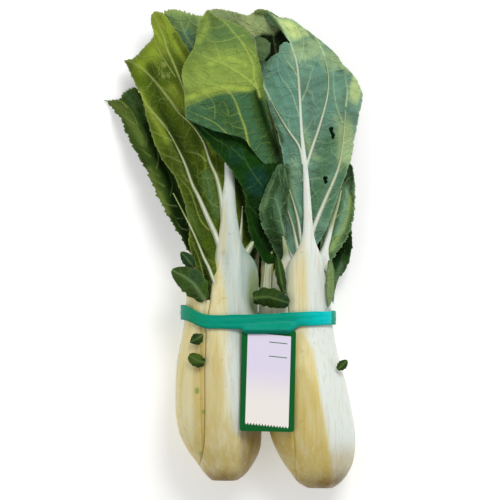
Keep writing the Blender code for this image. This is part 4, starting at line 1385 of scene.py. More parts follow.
LEFT_BACK_BLADE = Blade("left_back_blade", "blue_leaf", BLUE_LEAF,
    (((200, 256), (192, 230), (184, 190), (176, 140), (168, 90), (162, 45), (163, 9)),
        ((212, 256), (222, 230), (226, 190), (224, 140), (220, 90), (216, 50), (210, 15)),
        ((200, 256), (206, 258), (212, 256)), ((163, 9), (172, 7), (182, 9), (195, 13), (210, 15))),
    left_back_height, (60, 112), (1, 4),
    veins=(Vein(((198, 60), (194, 48), (187, 37), (182, 26), (179, 13)), (2.2, 1.2), 0.6),
        branch((184, 31), (188, 22), (190, 14)), branch((188, 40), (181, 43), (176, 42)),
        branch((190, 42), (197, 38), (204, 34)), fine((181, 22), (174, 18), (169, 14)),
        *side_veins(BACK_MAIN, 12, 18)),
    folds=(Fold(((172, 12), (182, 34), (192, 56)), 4, 1.2),),
    # Painted light at the tip, and painted shade lower down where the front leaves cover it.
    patches=(Streak(LIT, ((166, 9), (176, 10), (190, 12), (204, 16)), (3, 3), 0.6),
        Patch(BLUE, (190, 40), (8, 14), 0.95, -30), Patch(LIT, (203, 22), (6, 9), 0.7),
        Streak(SHADE, ((164, 16), (174, 34), (186, 56)), (2.5, 2.5), 0.7),
        Patch(DEEP, (214, 150), (16, 60), 0.6), Patch(SHADE, (205, 150), (60, 90), 0.7)),
    teeth=0.5, seed=8)
LEFT_FAR_BLADE = Blade("left_far_blade", "grey_leaf", GREY,
    (((244, 260), (236, 240), (230, 200), (223, 150), (213, 100), (206, 60), (203, 30), (206, 10.5)),
        ((255, 260), (260, 240), (263, 220), (273, 190), (282, 150), (287, 100), (290, 62), (296, 40),
            (283, 21), (271, 12)),
        ((244, 260), (250, 262), (255, 260)),
        ((206, 10.5), (217, 8.6), (233, 11.5), (248, 15), (256, 10), (262, 9), (271, 12))),
    left_far_height, (84, 124), (1.1, 4),
    veins=(Vein(((258, 46), (255, 37), (245, 27), (235, 18.6), (224, 11)), (1.8, 1), 0.5),
        Vein(((276, 52), (274, 40), (272, 31), (264, 22)), (1, 0.7), 0.3, 0.3),
        fine((245, 27), (238, 27), (230, 29)), fine((235, 19), (228, 20), (220, 20)),
        fine((255, 37), (248, 38), (242, 42))),
    # Painted shade in the hollow under the right front leaf and where the other leaves cover it, with small
    # patches of painted light.
    patches=(Region(DEEP, ((254, 40), (262, 33), (274, 34), (281, 28), (302, 30), (302, 80), (250, 80)), 4),
        Patch(LIT, (252, 27), (14, 6), 0.5, 35), Patch(DEEP, (262, 140), (22, 84), 1),
        Patch(SHADE, (248, 240), (24, 40), 0.9), Patch(SHADE, (260, 12), (9, 4), 0.8, 10),
        Patch(LIT, (247, 16), (6, 3), 0.5)),
    teeth=0.25, seed=9)
LEFT_LEAVES = (LEFT_FRONT_BLADE, LEFT_OUTER_BLADE, LEFT_BACK_BLADE, LEFT_FAR_BLADE)


# The folded centre leaf: its lit back and its dark face below the fold, dark partly of its own and partly as
# painted shade
CENTRE_FOLD_BLADE = Blade("centre_fold_blade", "dark_leaf", DARK,
    (((264, 262), (252, 240), (246, 215), (244, 193), (231, 170), (216, 153), (203, 137), (191, 122)),
        ((278, 262), (275, 245), (272, 225), (269, 205), (272, 186), (279, 163), (240, 139), (206, 117)),
        ((264, 262), (271, 264), (278, 262)), ((191, 122), (198, 118), (206, 117))),
    fold_height, (84, 136), (0.8, 6),
    veins=(branch((203, 128), (214, 138), (229, 149), (230, 160)), branch((231, 148), (244, 160), (252, 174)),
        branch((262, 186), (252, 172), (246, 160), (240, 148)), fine((246, 190), (256, 184), (262, 176)),
        branch((262, 200), (262, 214), (266, 234), (272, 250)), fine((222, 140), (222, 150), (218, 156)),
        fine((249, 206), (258, 216), (264, 226)), fine((236, 152), (243, 150), (250, 152))),
    folds=(Fold(((212, 132), (230, 150), (248, 172), (257, 196), (262, 226)), 6, 1),
        Fold(((246, 196), (252, 218), (262, 244)), 2.5, 1.2)),
    # Painted shade and blue-green painted shade below the fold, with a thin painted highlight along a ridge.
    patches=(Patch(BLUE, (257, 182), (11, 14), 0.95), Patch(BLUE, (236, 156), (8, 9), 0.5),
        Streak(SHADE, ((250, 200), (256, 222), (268, 250)), (6, 5), 0.9),
        Streak(DEEP, ((262, 206), (266, 228), (272, 250)), (5, 4), 0.9),
        Streak(LIT, ((246, 196), (250, 214), (258, 236), (272, 256)), (1.6, 1.4), 0.8)),
    pleat=0, pucker=0.5, teeth=0.35, seed=11)
CENTRE_BLADE = Blade("centre_blade", "lit_leaf", LIT_LEAF,
    (((186, 119), (184, 90), (182.5, 70), (194, 48), (197, 33), (201, 20), (208, 11)),
        ((285, 166), (280, 146), (274, 122), (268, 98), (263, 78), (259, 60), (253, 40)),
        ((186, 119), (198, 125), (213, 131), (228, 135), (244, 140), (256, 155), (267, 165), (285, 166)),
        ((208, 11), (219, 19), (231, 23), (243, 29), (253, 40))),
    centre_height, (136, 164), (0.9, 4),
    ribs=(((209, 12), (225, 24), (242, 44), (254, 68), (258, 90)), ((257, 89), (224, 66), (197, 54)),
        ((198, 84), (222, 89), (237, 106), (248, 143))),
    veins=(Vein(((260, 98), (258, 91), (254.4, 80), (253.7, 68), (249.4, 57), (242, 44), (235, 35.7),
                (225, 24), (209.4, 13)),
            (3, 1.8), 0.9),
        Vein(((257, 89), (248, 81), (238, 74), (223.7, 65.7), (211, 61), (196.6, 54)), (2.6, 1.3), 0.8),
        Vein(((250, 150), (248, 143), (245, 128.6), (241, 118.6), (236.6, 105.7), (231, 95.7),
                (222, 88.6), (209.4, 85.7), (196, 83), (186, 74)),
            (2.4, 1.2), 0.7),
        branch((226.6, 134), (215, 124), (201, 117), (186.6, 111)),
        fine((215, 120), (215, 108.6), (211, 100), (201, 93), (187, 90)),
        branch((244, 37), (237, 38.6), (226.6, 42), (213.7, 43.6), (205, 38.6), (198, 35)),
        fine((225, 25), (222, 28), (212, 29), (202, 24)), branch((219, 62), (218, 53), (213.7, 43.6)),
        fine((218, 51), (209, 51), (198, 48)), fine((250, 60), (235, 51), (221, 55)),
        fine((211, 61), (205, 67), (198, 68)), fine((207, 83), (204, 80), (196.6, 74), (184, 67)),
        branch((253, 81), (249.4, 82), (233.7, 83.6), (212, 81)),
        fine((238.7, 114), (229.4, 117), (221, 111)), fine((229, 117), (227, 108.6), (222, 102)),
        fine((245, 130), (236, 128), (228, 124)), fine((215, 108), (206, 110), (198, 106)),
        fine((200, 103), (194, 101), (187, 102)), branch((256, 58), (247, 48), (240, 40)),
        fine((244, 62), (236, 64), (228, 60))),
    folds=(Fold(((190, 66), (206, 70), (228, 78), (248, 90)), 5, -0.5),
        Fold(((222, 100), (232, 112), (240, 132)), 6, -0.7),
        Fold(((200, 24), (214, 36), (232, 52)), 6, -0.5), Fold(((196, 96), (204, 106), (208, 120)), 5, 0.6)),
    # Painted light on the ridge, blue-green painted shade below it, and deep painted shade in the groove by
    # the right front leaf.
    patches=(Patch(LIT, (220, 76), (50, 24), 0.55, -8, 1.2),
        Streak(LIT, ((188, 99), (204, 93), (224, 89), (248, 90)), (4.5, 3.5), 0.95),
        Streak(LIT, ((212, 64), (230, 60), (246, 66)), (6, 4), 0.8),
        Streak(LIT, ((190, 74), (204, 70), (216, 72)), (6, 4), 0.4),
        Region(BLUE,
            ((178, 112), (198, 103.5), (209, 99), (221, 96), (235, 94), (250, 93.5), (257, 92),
                (264, 100), (274, 134), (288, 166), (262, 172), (238, 150), (178, 130)),
            3.5),
        Patch(BLUE, (226, 36), (12, 9), 0.35, 20, 1.2),
        Streak(LIT, ((204, 16), (207, 26), (199, 42)), (4, 4), 0.5),
        Streak(SHADE, ((254, 97), (259, 116), (267, 138), (276, 158)), (5.5, 6), 0.75),
        Streak(DEEP, ((257, 92), (261.5, 110), (268.5, 130), (277, 152)), (3.4, 4.4), 1),
        Streak(SHADE, ((222, 110), (232, 123), (240, 136)), (11, 7), 0.6),
        Streak(SHADE, ((222, 108), (234, 124), (244, 134)), (7, 5), 0.45)),
    tuck=((254, 42), (256, 60), (257.5, 75), (260, 92), (265, 114), (272, 138), (279, 161)), pleat=0.8,
    pucker=0.8, teeth=0.12, seed=13)
CENTRE_LEAVES = (CENTRE_FOLD_BLADE, CENTRE_BLADE)


# Blades of the right head
RIGHT_FRONT_BLADE = Blade("right_front_blade", "blue_green_leaf", BLUE_GREEN,
    (((298, 262), (287, 246), (283.5, 222), (283, 195), (284, 168), (279, 140), (270.5, 113),
            (263, 90), (259, 70), (255, 50), (255, 30), (267, 10)),
        ((314, 250), (325, 232), (334, 208), (342, 186), (351, 160), (355.5, 135), (361, 108), (363, 92),
            (354, 75), (343, 64), (334, 52), (315, 37)),
        ((298, 262), (307, 259), (314, 250)), ((267, 10), (277, 17), (290, 19), (302, 27), (315, 37))),
    right_front_height, (156, 230), (1.2, 5),
    ribs=(RIGHT_MAIN, RIGHT_SHORT, RIGHT_THIRD, RIGHT_INNER, RIGHT_OUTER, RIGHT_EDGE),
    veins=(Vein(((293, 52), (290, 43), (285, 33), (278, 21), (269, 11)), (2.4, 1.5), 0.7),
        Vein(((270, 100), (263.6, 86), (258.6, 68.6), (256.4, 57), (255, 40)), (2.2, 1.3), 0.6),
        Vein(((324, 56), (318, 43), (311, 35), (303, 29)), (2, 1.2), 0.5),
        Vein(((346, 106), (347.5, 90), (345, 76)), (1.8, 1.1), 0.5),
        branch((301, 102), (306.4, 90), (311, 74), (315, 63), (312, 53)),
        fine((311, 67), (306, 65), (305, 58.6), (306, 50)),
        fine((306, 90), (312, 94), (313.6, 103), (321, 111)),
        branch((298, 78), (292, 68.6), (285, 58.6), (281, 48.6)),
        branch((299, 116), (293.6, 100), (289, 88.6), (282, 80), (278, 71), (277, 60)),
        branch((298.6, 64), (302, 54), (303.6, 41), (300, 30), (293.6, 23), (282, 19)),
        fine((327, 74), (321, 66), (316.4, 61)),
        branch((343, 123), (336.4, 106), (333.6, 86), (333, 68.6), (331, 50)),
        fine((329, 72), (334, 70), (339, 61)), fine((347, 100), (356, 97), (362, 92)),
        branch((343, 144), (353.6, 137), (357, 128)), fine((317, 127), (328, 124), (333.6, 118.6)),
        fine((314, 141), (326.4, 143), (335, 141)), fine((308, 165), (320.7, 161.4), (329, 157)),
        fine((283, 126), (278, 126), (274, 124)), fine((305, 182), (316, 178), (327, 180)),
        fine((304, 204), (313, 196), (321, 188)), fine((302, 176), (294, 164), (287, 154)),
        fine((335, 176), (343, 168), (350, 160)), fine((323, 204), (332, 198), (339, 190)),
        fine((303, 216), (298, 204), (293, 190)), fine((340, 160), (332, 152), (330, 144)),
        fine((302, 135), (308, 128), (316, 112)), fine((299, 92), (294, 86), (288, 74)),
        fine((347, 88), (352, 84), (357, 82)), fine((290, 133), (288, 122), (290, 112))),
    folds=(
        Fold(((310, 62), (312, 100), (308, 134)), 6, 0.8), Fold(((282, 60), (286, 90), (294, 124)), 6, 0.8),
        Fold(((334, 84), (334, 118), (326, 156), (314, 196)), 5, -1.4),
        Fold(((344, 168), (334, 196), (322, 224)), 4, -1.2),
        Fold(((352, 88), (352, 120), (346, 160)), 4.5, 1),
        Fold(((284, 150), (292, 178), (299, 206)), 5, -1.2),
        Fold(((326, 120), (330, 134), (328, 150)), 2.5, -0.9),
        Fold(((316, 44), (306, 36), (292, 30)), 5, 0.6)),
    # Painted light at the top and the right edge, painted shade in the folds, and deep painted shade in the
    # torn hollow.
    patches=(
        Region(LIT, ((266, 8), (280, 18), (292, 20), (304, 28), (308, 36), (294, 41), (286, 36)), 10, 0.95),
        Patch(LIT, (308, 50), (17, 10), 0.34, -20), Patch(LIT, (329, 60), (12, 9), 0.34, 30),
        Patch(LIT, (262, 50), (8, 13), 0.5), Patch(LIT, (346, 146), (9, 26), 0.45),
        Patch(LIT, (293, 178), (6, 20), 0.25),
        Region(DEEP, ((250, 34), (262, 35), (270, 42), (272, 54), (266, 62), (258, 66), (250, 60)), 3, 0.72),
        Patch(LIT, (358, 84), (7, 18), 0.7, 14), Patch(LIT, (346, 66), (10, 5), 0.35, 40),
        Streak(LIT, ((336, 118), (340, 132), (335, 146)), (4, 5), 0.22),
        Streak(LIT, ((303, 130), (312, 154), (322, 160)), (5, 3), 0.25),
        Patch(BLUE, (285, 96), (14, 42), 0.8, -20), Patch(BLUE, (322, 92), (12, 34), 0.5),
        Streak(SHADE, ((330, 142), (324, 170), (314, 204), (309, 230)), (9, 7), 0.8),
        Streak(SHADE, ((345, 168), (337, 190), (326, 216)), (5, 5), 0.8),
        Streak(BLUE, ((282, 138), (290, 164), (298, 196)), (8, 7), 0.5),
        Streak(SHADE, ((286, 172), (290, 192), (295, 214), (301, 240)), (3.5, 3.5), 0.8),
        Streak(SHADE, ((268, 58), (271, 80), (280, 104)), (4, 3), 0.35),
        Streak(DEEP, ((256, 40), (262, 48), (263, 62)), (9, 6), 0.75),
        Streak(DEEP, ((262, 88), (266, 104), (273, 122), (282, 142)), (2.6, 2.6), 0.85),
        Streak(DEEP, ((267, 13), (274, 22), (283, 36)), (4.5, 2.5), 0.85),
        Streak(SHADE, ((296, 22), (303, 34), (306, 52)), (2, 2), 0.35)),
    holes=(((258, 36.5), (265, 38.5), (270.5, 44), (270, 53), (264.5, 61), (266, 62.5), (272, 57),
            (279, 52.5), (279, 47), (284, 42.5), (290, 43.5), (281, 31), (271, 24), (264.8, 16), (264, 5),
            (250, 5), (248, 36)),
        ((328.6, 129), (331, 127), (333.8, 128), (332.8, 131), (335, 135), (334, 139), (331.4, 139),
            (331, 134)),
        ((322.6, 178), (325, 175.8), (328, 178), (326.8, 180), (328.4, 182.5), (324.6, 184.4))),
    pleat=1.3, pucker=0.8, teeth=0.22, seed=17)
RIGHT_LEFT_BLADE = Blade("right_left_blade", "mid_leaf", MID,
    (((277, 257), (269, 240), (262, 226), (259, 212), (262, 198), (271, 178)),
        ((289, 257), (286, 240), (284, 225), (289, 203), (290, 168)), ((277, 257), (283, 258), (289, 257)),
        ((271, 178), (279, 165), (290, 168))),
    right_left_height, (72, 124), (1.6, 3.5), ribs=(RUFFLE_LEFT,),
    veins=(Vein(((286, 246), (282, 224), (279, 210), (274, 194)), (1.9, 1), 0.6),
        fine((281, 222), (274, 220), (269, 216)), fine((283, 233), (277, 232), (272, 230)),
        fine((284, 242), (279, 240), (275, 240)), fine((279, 210), (284, 204), (288, 196)),
        fine((276, 200), (270, 198), (264, 200)), fine((279, 168), (280, 180), (286, 198)),
        fine((284, 168), (287, 180), (288, 192))),
    folds=(Fold(((274, 176), (269, 196), (264, 214), (272, 238)), 3.5, 2.4),
        Fold(((280, 168), (276, 184), (268, 202)), 2.4, -2.2),
        Fold(((284, 170), (284, 186), (287, 200)), 2.2, 2.4),
        Fold(((270, 210), (274, 228), (281, 250)), 2.6, -2.4),
        Fold(((287, 190), (284, 212), (284, 232)), 2.4, -2),
        Fold(((276, 172), (273, 184), (267, 196)), 1.4, 1.4)),
    # Painted light and painted shade along the ruffles.
    patches=(Streak(SHADE, ((268, 214), (272, 230), (280, 250)), (5, 5), 0.9),
        Streak(LIT, ((273, 182), (267, 196), (262, 212)), (3, 3), 0.5),
        Streak(SHADE, ((280, 172), (275, 190), (270, 206)), (2.4, 2.4), 0.6),
        Streak(SHADE, ((287, 190), (285, 206), (285, 222)), (3, 3), 0.7),
        Streak(BLUE, ((276, 196), (280, 214), (284, 236)), (3, 3), 0.6),
        Streak(DEEP, ((284, 166), (288, 174), (289, 186)), (2.2, 2), 0.6)),
    pucker=0.6, teeth=0.4, seed=19)
RIGHT_RIGHT_BLADE = Blade("right_right_blade", "right_leaf", RIGHT,
    (((320, 255), (321, 240), (326, 220), (333, 198), (338, 178), (343, 162)),
        ((331, 262), (338, 252), (347, 239), (353.5, 222), (356, 195), (354, 168)),
        ((320, 255), (326, 259), (331, 262)), ((343, 162), (349, 161), (354, 168))),
    right_right_height, (68, 116), (1.5, 3.5), ribs=(RUFFLE_RIGHT,),
    veins=(Vein(((323, 252), (329, 228), (335, 207), (338, 196)), (2.2, 1.1), 0.6),
        branch((330, 240), (340, 232), (350, 226)), branch((334, 220), (344, 210), (353, 204)),
        fine((338, 204), (346, 194), (354, 190)), fine((329, 252), (338, 246), (348, 240)),
        fine((342, 188), (347, 180), (352, 176)), branch((326, 258), (334, 244), (343, 232))),
    folds=(Fold(((348, 172), (347, 200), (340, 230), (330, 252)), 3, 1.6),
        Fold(((343, 176), (341, 204), (333, 232)), 2.6, -1.6),
        Fold(((353, 196), (350, 220), (344, 242)), 2.6, -1.2)),
    # Painted light and painted shade along the ruffles.
    patches=(Streak(LIT, ((351, 196), (349, 214), (340, 234), (331, 250)), (3, 3), 0.8),
        Streak(SHADE, ((341, 180), (339, 204), (331, 230), (325, 248)), (3.2, 3.4), 0.85),
        Streak(BLUE, ((346, 190), (344, 212), (338, 232)), (3.4, 3.4), 0.8),
        Patch(DEEP, (349, 172), (8, 13), 0.9, -10),
        Streak(DEEP, ((353, 182), (351, 190), (354, 200)), (2.4, 2), 0.7),
        Streak(SHADE, ((353, 204), (350, 224), (345, 240)), (2, 2), 0.6)),
    pucker=0.6, teeth=0.45, seed=21)
RIGHT_BACK_BLADE = Blade("right_back_blade", "back_leaf", BACK,
    (((300, 254), (288, 232), (280, 200), (277, 150), (278, 100), (288, 58)),
        ((334, 305), (337, 285), (346, 270), (352, 254), (353, 238), (350, 200), (350, 150), (350, 105),
            (338, 66)),
        ((300, 254), (314, 256), (323, 263), (328, 282), (334, 305)), ((288, 58), (314, 47), (338, 66))),
    right_back_height, (62, 104), (1, 5),
    veins=(branch((332, 292), (338, 272), (346, 250)), *side_veins(RIGHT_BACK, 12, 24)),
    # Painted light near its lower right edge, and deep painted shade where the front leaves cover it.
    patches=(Streak(LIT, ((334, 298), (338, 280), (343, 264)), (3.5, 3), 0.9),
        Patch(DEEP, (348, 245), (9, 11), 0.8), Patch(DEEP, (330, 240), (16, 24), 0.9)),
    teeth=0.4, seed=23)
RIGHT_LEAVES = (RIGHT_FRONT_BLADE, RIGHT_LEFT_BLADE, RIGHT_RIGHT_BLADE, RIGHT_BACK_BLADE)


@dataclass(frozen=True)
class SmallLeaf:
    """A small leaf or torn lobe: a pointed sheet along a spine, arched across."""

    node: str
    spine: tuple[Place, ...]
    half_width: float
    height: Height
    bend: float
    beat: float
    midrib: float = 1.4
    # Painted light and shade.
    patches: tuple[Patch, ...] = ()
    finish: LeafFinish = SMALL
    blunt: float = 0.7
    dip: float = 2.4

    def body(self) -> Body:
        """Build the leaf: its width is a power of a half sine along the spine, its height falls as
        the square of the distance from the spine and dips where it grows from the stalk, and a
        small wave runs along its edges.

        Returns:
            The closed leaf with its painted masks.
        """
        rows, columns = 46, 27
        path = smooth_path(self.spine, rows)
        tangent = headings(path)
        v = np.linspace(0.0, 1.0, rows)[:, None]
        s = np.linspace(-1.0, 1.0, columns)[None, :]
        spread = self.half_width * np.sin(math.pi * (0.06 + 0.92 * v)) ** self.blunt
        spread = spread * (1.0 + 0.05 * np.sin(9.0 * v * math.pi) + 0.04 * np.sin(23.0 * v + 1.0))
        across = path[:, :1] - tangent[:, 1:] * spread * s
        down = path[:, 1:] + tangent[:, :1] * spread * s
        gap = np.abs(s) * spread
        mid = np.exp(-(gap / (self.midrib * (1.1 - 0.7 * v))) ** 2)
        lean = 5.5 * v - 1.1 * np.abs(s)
        side = 0.55 * np.exp(-((lean - np.round(lean)) / 0.09) ** 2) * (1 - np.abs(s) ** 3)
        z = self.height(across, down) - self.bend * s ** 2 + 0.4 * np.abs(s) * np.sin(v * self.beat)
        z = z + 0.35 * mid + 0.15 * side + 0.18 * swell(across, down, 7.0, 4)
        z = z - self.dip * ease((0.3 - v) / 0.3)
        masks = paint(self.patches, LEAF_TINTS, across, down)
        masks[VEIN] = np.maximum(0.75 * mid, 0.35 * side)
        rim = np.minimum(1 - np.abs(s), (1 - v) * 4.0) * self.half_width
        masks[RIM] = np.exp(-(rim / 0.7) ** 2)
        masks[WET] = np.zeros(across.shape)
        x, y = front(across, down)
        return sheet_body(np.stack([x, y, z * MM], axis=-1), (0.35 + 0.35 * ease(rim / 3.0)) * MM, masks)

    def make(self) -> None:
        """Add the leaf to the scene."""
        add_piece(self.node + "_fine", self.body(), self.finish.material(), self.node)


# Small leaves and torn lobes that stand off the stalks
LOBE = LeafFinish(
    "lobe_leaf", (58, 86, 26), (128, 152, 96), (36, 60, 14), (18, 36, 6), (36, 68, 44), (112, 138, 88),
    (40, 66, 22), 0.48)
# The small leaves' patches are painted light and shade.
SMALL_LEAVES = (
    SmallLeaf(
        "left_notch_leaf", ((203, 334), (198, 338), (190, 342)), 6, slope(57.6, 201, 338, 0.45, 0), 0.8, 6,
        blunt=1.1),
    SmallLeaf(
        "left_round_leaf", ((205, 362), (198, 360), (189, 355)), 6.6, slope(60.4, 203, 356, 0.45, 0), 0.8,
        7, patches=(Patch(LIT, (195, 358), (7, 5), 0.6),), blunt=0.45),
    SmallLeaf(
        "left_lobe_leaf", ((205, 300), (192, 282), (172, 270)), 13, slope(54.5, 204, 297, 0.28, 0), 2.4, 8,
        2.2, (Patch(BLUE, (196, 276), (8, 8), 0.6),), LOBE),
    SmallLeaf(
        "left_curl_leaf", ((194, 268), (188, 260), (181, 252)), 6, slope(45.5, 192, 262, 0.3, 0), 1.6, 8,
        patches=(Patch(BLUE, (188, 260), (9, 9), 0.9),)),
    SmallLeaf(
        "middle_back_leaf", ((267, 308), (270, 270), (267, 215)), 13, slope(9.5, 266, 270, 0, 0), -0.8, 5),
    SmallLeaf(
        "right_lobe_leaf", ((284, 294), (280.5, 276), (277, 254)), 5, slope(47, 282, 280, 0.25, 0.03), 1.2,
        6),
    SmallLeaf(
        "middle_curl_leaf", ((253, 298), (268, 297), (289, 303)), 9.6, slope(53.2, 270, 300, 0.02, 0), 3.2,
        9, blunt=0.42,
        patches=(Patch(SHADE, (264, 303), (12, 6), 0.6), Patch(BLUE, (284, 300), (6, 8), 0.6))),
    SmallLeaf(
        "right_notch_leaf", ((337, 369), (343, 364), (347, 360)), 4.8, slope(47.5, 342, 364, -0.5, 0), 0.8,
        6),
    SmallLeaf("right_rolled_leaf", ((330, 260), (331, 285), (328, 307)), 5, slope(45.5, 330, 285, -0.3, 0.02),
        2.6, 4, 1.6, (Patch(LIT, (330, 285), (4, 24), 1),), LOBE))


# Stalks


@dataclass(frozen=True)
class Stalk:
    """A stalk: a sector of its head, thinner toward its two edges, that narrows to ribs."""

    node: str
    head: tuple[tuple[float, ...], ...]
    sector: Place
    upper: tuple[tuple[float, ...], ...] = ()
    keel: Place = (0.0, 0.0)
    left_edge: tuple[Place, ...] = ()
    right_edge: tuple[Place, ...] = ()
    inset: float = 0.0
    ribs: tuple[tuple[Rib, Height], ...] = ()
    # Painted colour of the flesh, and painted shade on some faces.
    patches: tuple[Patch, ...] = ()

    def held(self, angle: Array, edge: tuple[Place, ...], station: Array) -> Array:
        """Turn of a side edge: the sector's own, and lower down the one that meets a drawn edge.

        Args:
            angle: The sector's own turn at each station, in degrees.
            edge: Places of the drawn edge from the top down, or none.
            station: Down, across, height and radius of each station.

        Returns:
            The turn of the edge at each station, in degrees.
        """
        if not edge:
            return angle
        path = np.array(edge, dtype=float)
        down, across, radius = station[:, :1], station[:, 1:2], station[:, 3:4] * MM / UNIT
        share = (np.interp(down, path[:, 1], path[:, 0]) - across) / radius
        turn = np.degrees(np.arcsin(np.clip(share, -1.0, 1.0)))
        return angle + (turn - angle) * ease((down - path[0, 1]) / 25.0)

    def wall(self) -> Body:
        """Build the stalk's wall.

        Stations along the head are joined by rounded curves. At each one, the outer face is an
        arc that draws in near its edges, with a soft keel and fine furrows, and the inner face is
        an arc nearer the axis.

        Returns:
            The closed wall.
        """
        columns = 35
        stations = [(down, across, axis, radius - self.inset, *self.sector, thick)
                    for down, across, axis, radius, thick in self.head]
        stations += self.upper
        rows = int((stations[0][0] - stations[-1][0]) / 1.9)
        table = smooth_path(stations, rows)
        down, across, axis, radius, start, end, thick = (table[:, k:k + 1] for k in range(7))
        start = self.held(start, self.left_edge, table)
        end = np.maximum(self.held(end, self.right_edge, table), start + 2.0)
        room = np.degrees(SEAM_GAP / MM / np.maximum(radius - thick, 2.0))
        s = np.linspace(-1.0, 1.0, columns)[None, :]
        angle = np.radians(start + room + (end - start - 2 * room) * (s + 1) / 2)
        lift = self.keel[1] * ease((down - 340.0) / 50.0)
        reach = radius * (1.0 - 0.022 * s ** 4 - 0.012 * s ** 14)
        reach = reach + lift * np.exp(-((np.degrees(angle) - self.keel[0]) / 16.0) ** 2)
        furrow = np.sin(29.0 * angle + 1.0) + np.sin(47.0 * angle + 0.4 * down / 30.0)
        reach = reach + 0.07 * furrow * np.minimum(radius / 20.0, 1.0) * (1.0 - s ** 6)
        inner = radius - thick * (1.0 - 0.35 * s ** 4)
        x0, y0 = front(across, down)
        sink = 0.8 * ease((np.linspace(0.0, 1.0, rows)[:, None] - 0.95) / 0.05) if self.upper else 0.0

        def placed(length: Array) -> Array:
            """Carry an arc of the given reach to its place."""
            z = np.maximum(axis + length * np.cos(angle) - sink, 0.0) * MM
            return np.stack([x0 + length * np.sin(angle) * MM, y0 + 0.0 * length, z], axis=-1)

        outer = placed(reach)
        at_a = outer[..., 0] / UNIT + MIDDLE_ACROSS
        at_d = np.broadcast_to(down, at_a.shape)
        masks = paint(self.patches, STALK_TINTS, at_a, at_d)
        if self.upper:
            masks[GREEN] = np.maximum(masks[GREEN], 0.6 * ease((190.0 - at_d) / 140.0))
        return ring_body(outer, placed(inner), masks)

    def make(self, material: Material) -> None:
        """Add the stalk and its ribs to the scene as one piece."""
        bodies = [self.wall()] + [rib.body(height) for rib, height in self.ribs]
        add_piece(self.node + "_fine", joined(bodies), material, self.node)


SLIP_LEFT = ((200.5, 300), (199, 366), (200, 408), (201.2, 440), (200.8, 452), (198.6, 463), (195, 481))
SLIP_RIGHT = ((207, 300), (204.8, 366), (205, 408), (204.3, 440), (202, 455), (199, 464), (196, 481))
FRONT_LEFT = ((286, 320), (290, 380), (292.6, 434), (294, 450), (293.8, 464), (296, 478))
FRONT_RIGHT = ((330, 300), (335, 330), (343, 357), (349, 371), (355, 395), (361, 430), (362, 478))


# Stalks of the left head, from the front round to the back
LEFT_BASE = (Patch(BROWN, (226, 494), (80, 21), 0.95, 0, 1), Patch(TAN, (224, 478), (90, 36), 0.6))
LEFT_FRONT_STALK = Stalk("left_front_stalk", LEFT_HEAD, (-19, 95),
    ((267, 234, 31.4, 18.8, -48, 60, 4.6), (246, 230.2, 40.4, 9.8, -78, 76, 4.5),
        (219, 229.2, 43.2, 6, -86, 86, 5.2), (200, 228.6, 42.4, 5.1, -86, 86, 4.4),
        (181, 229.4, 41.6, 3.8, -86, 86, 3), (160, 228.6, 41.4, 3, -86, 86, 2.4),
        (140, 227, 41, 2.2, -86, 86, 1.8)),
    (30, 1.2),
    ribs=((Rib(LEFT_SHORT, (7.6, 0.8), (4.4, 0.7), (0, 0.5)), left_front_height),
        (Rib(LEFT_FORK, (8.4, 2.4), (4.2, 1), (0, 0.9)), left_front_height),
        (Rib(LEFT_INNER, (5.2, 1), (3.6, 0.5), (0.05, 1)), left_front_height),
        (Rib(LEFT_LOWER, (5, 1), (3.2, 0.5), (0.1, 1)), left_front_height),
        (Rib(LEFT_THIRD, (3.6, 0.8), (2.2, 0.4), (0.1, 1)), left_front_height)),
    left_edge=SLIP_RIGHT,
    # The blue patches are painted cool shade on the white flesh.
    patches=LEFT_BASE + (Patch(BLUE, (234, 262), (12, 90), 0.5), Patch(BLUE, (249, 268), (11, 40), 1),
        Patch(BLUE, (236, 360), (8, 90), 0.25),
        Region(CREAM,
            ((196, 250), (220, 262), (227, 300), (226, 380), (233, 430), (270, 440), (270, 490),
                (196, 490)),
            12, 0.8),
        Patch(TAN, (214, 400), (10, 60), 0.45), Patch(TAN, (222, 446), (14, 30), 0.35),
        # Painted shade on the right face: brown and tan.
        Region(BROWN, ((240.5, 402), (256, 398), (268, 420), (266, 480), (241, 480)), 5, 0.62),
        Region(TAN, ((240, 376), (262, 384), (268, 480), (240, 480)), 5, 0.55),
        # By the band: green under blue painted shade.
        Patch(GREEN, (256, 294), (8, 22), 0.7, 0, 1), Patch(BLUE, (251, 290), (9, 26), 0.6),
        Patch(GREEN, (214, 262), (4, 22), 0.4), Patch(CREAM, (222, 230), (5, 30), 0.4)))
LEFT_OUTER_STALK = Stalk("left_outer_stalk", LEFT_HEAD, (-95, -28.5),
    ((275, 205, 30.5, 14.5, -115, -22, 4.4), (254, 197, 30.6, 4.8, -90, 60, 4),
        (238, 192.5, 29.6, 2, -86, 86, 1.8)),
    right_edge=SLIP_LEFT,
    patches=LEFT_BASE + (Patch(GREEN, (194, 244), (14, 14), 0.9), Patch(CREAM, (188, 380), (40, 130), 0.85),
        Patch(TAN, (199, 400), (6, 70), 0.5), Patch(TAN, (178, 452), (16, 20), 0.4),
        Patch(BROWN, (181, 458), (6, 8), 0.5), Patch(GREEN, (197.5, 390), (2.2, 3.2), 1),
        Patch(GREEN, (201, 454), (2, 3), 0.8)))
LEFT_SLIP_STALK = Stalk(
    "left_slip_stalk", LEFT_HEAD[1:], (-27.5, -20), left_edge=SLIP_LEFT, right_edge=SLIP_RIGHT, inset=1.2,
    patches=LEFT_BASE + (Patch(CREAM, (202, 390), (20, 120), 1), Patch(TAN, (202, 400), (9, 70), 0.8),
        Patch(GREEN, (197.5, 390), (2.5, 2.5), 1), Patch(GREEN, (204, 411), (2.2, 2.2), 1)))
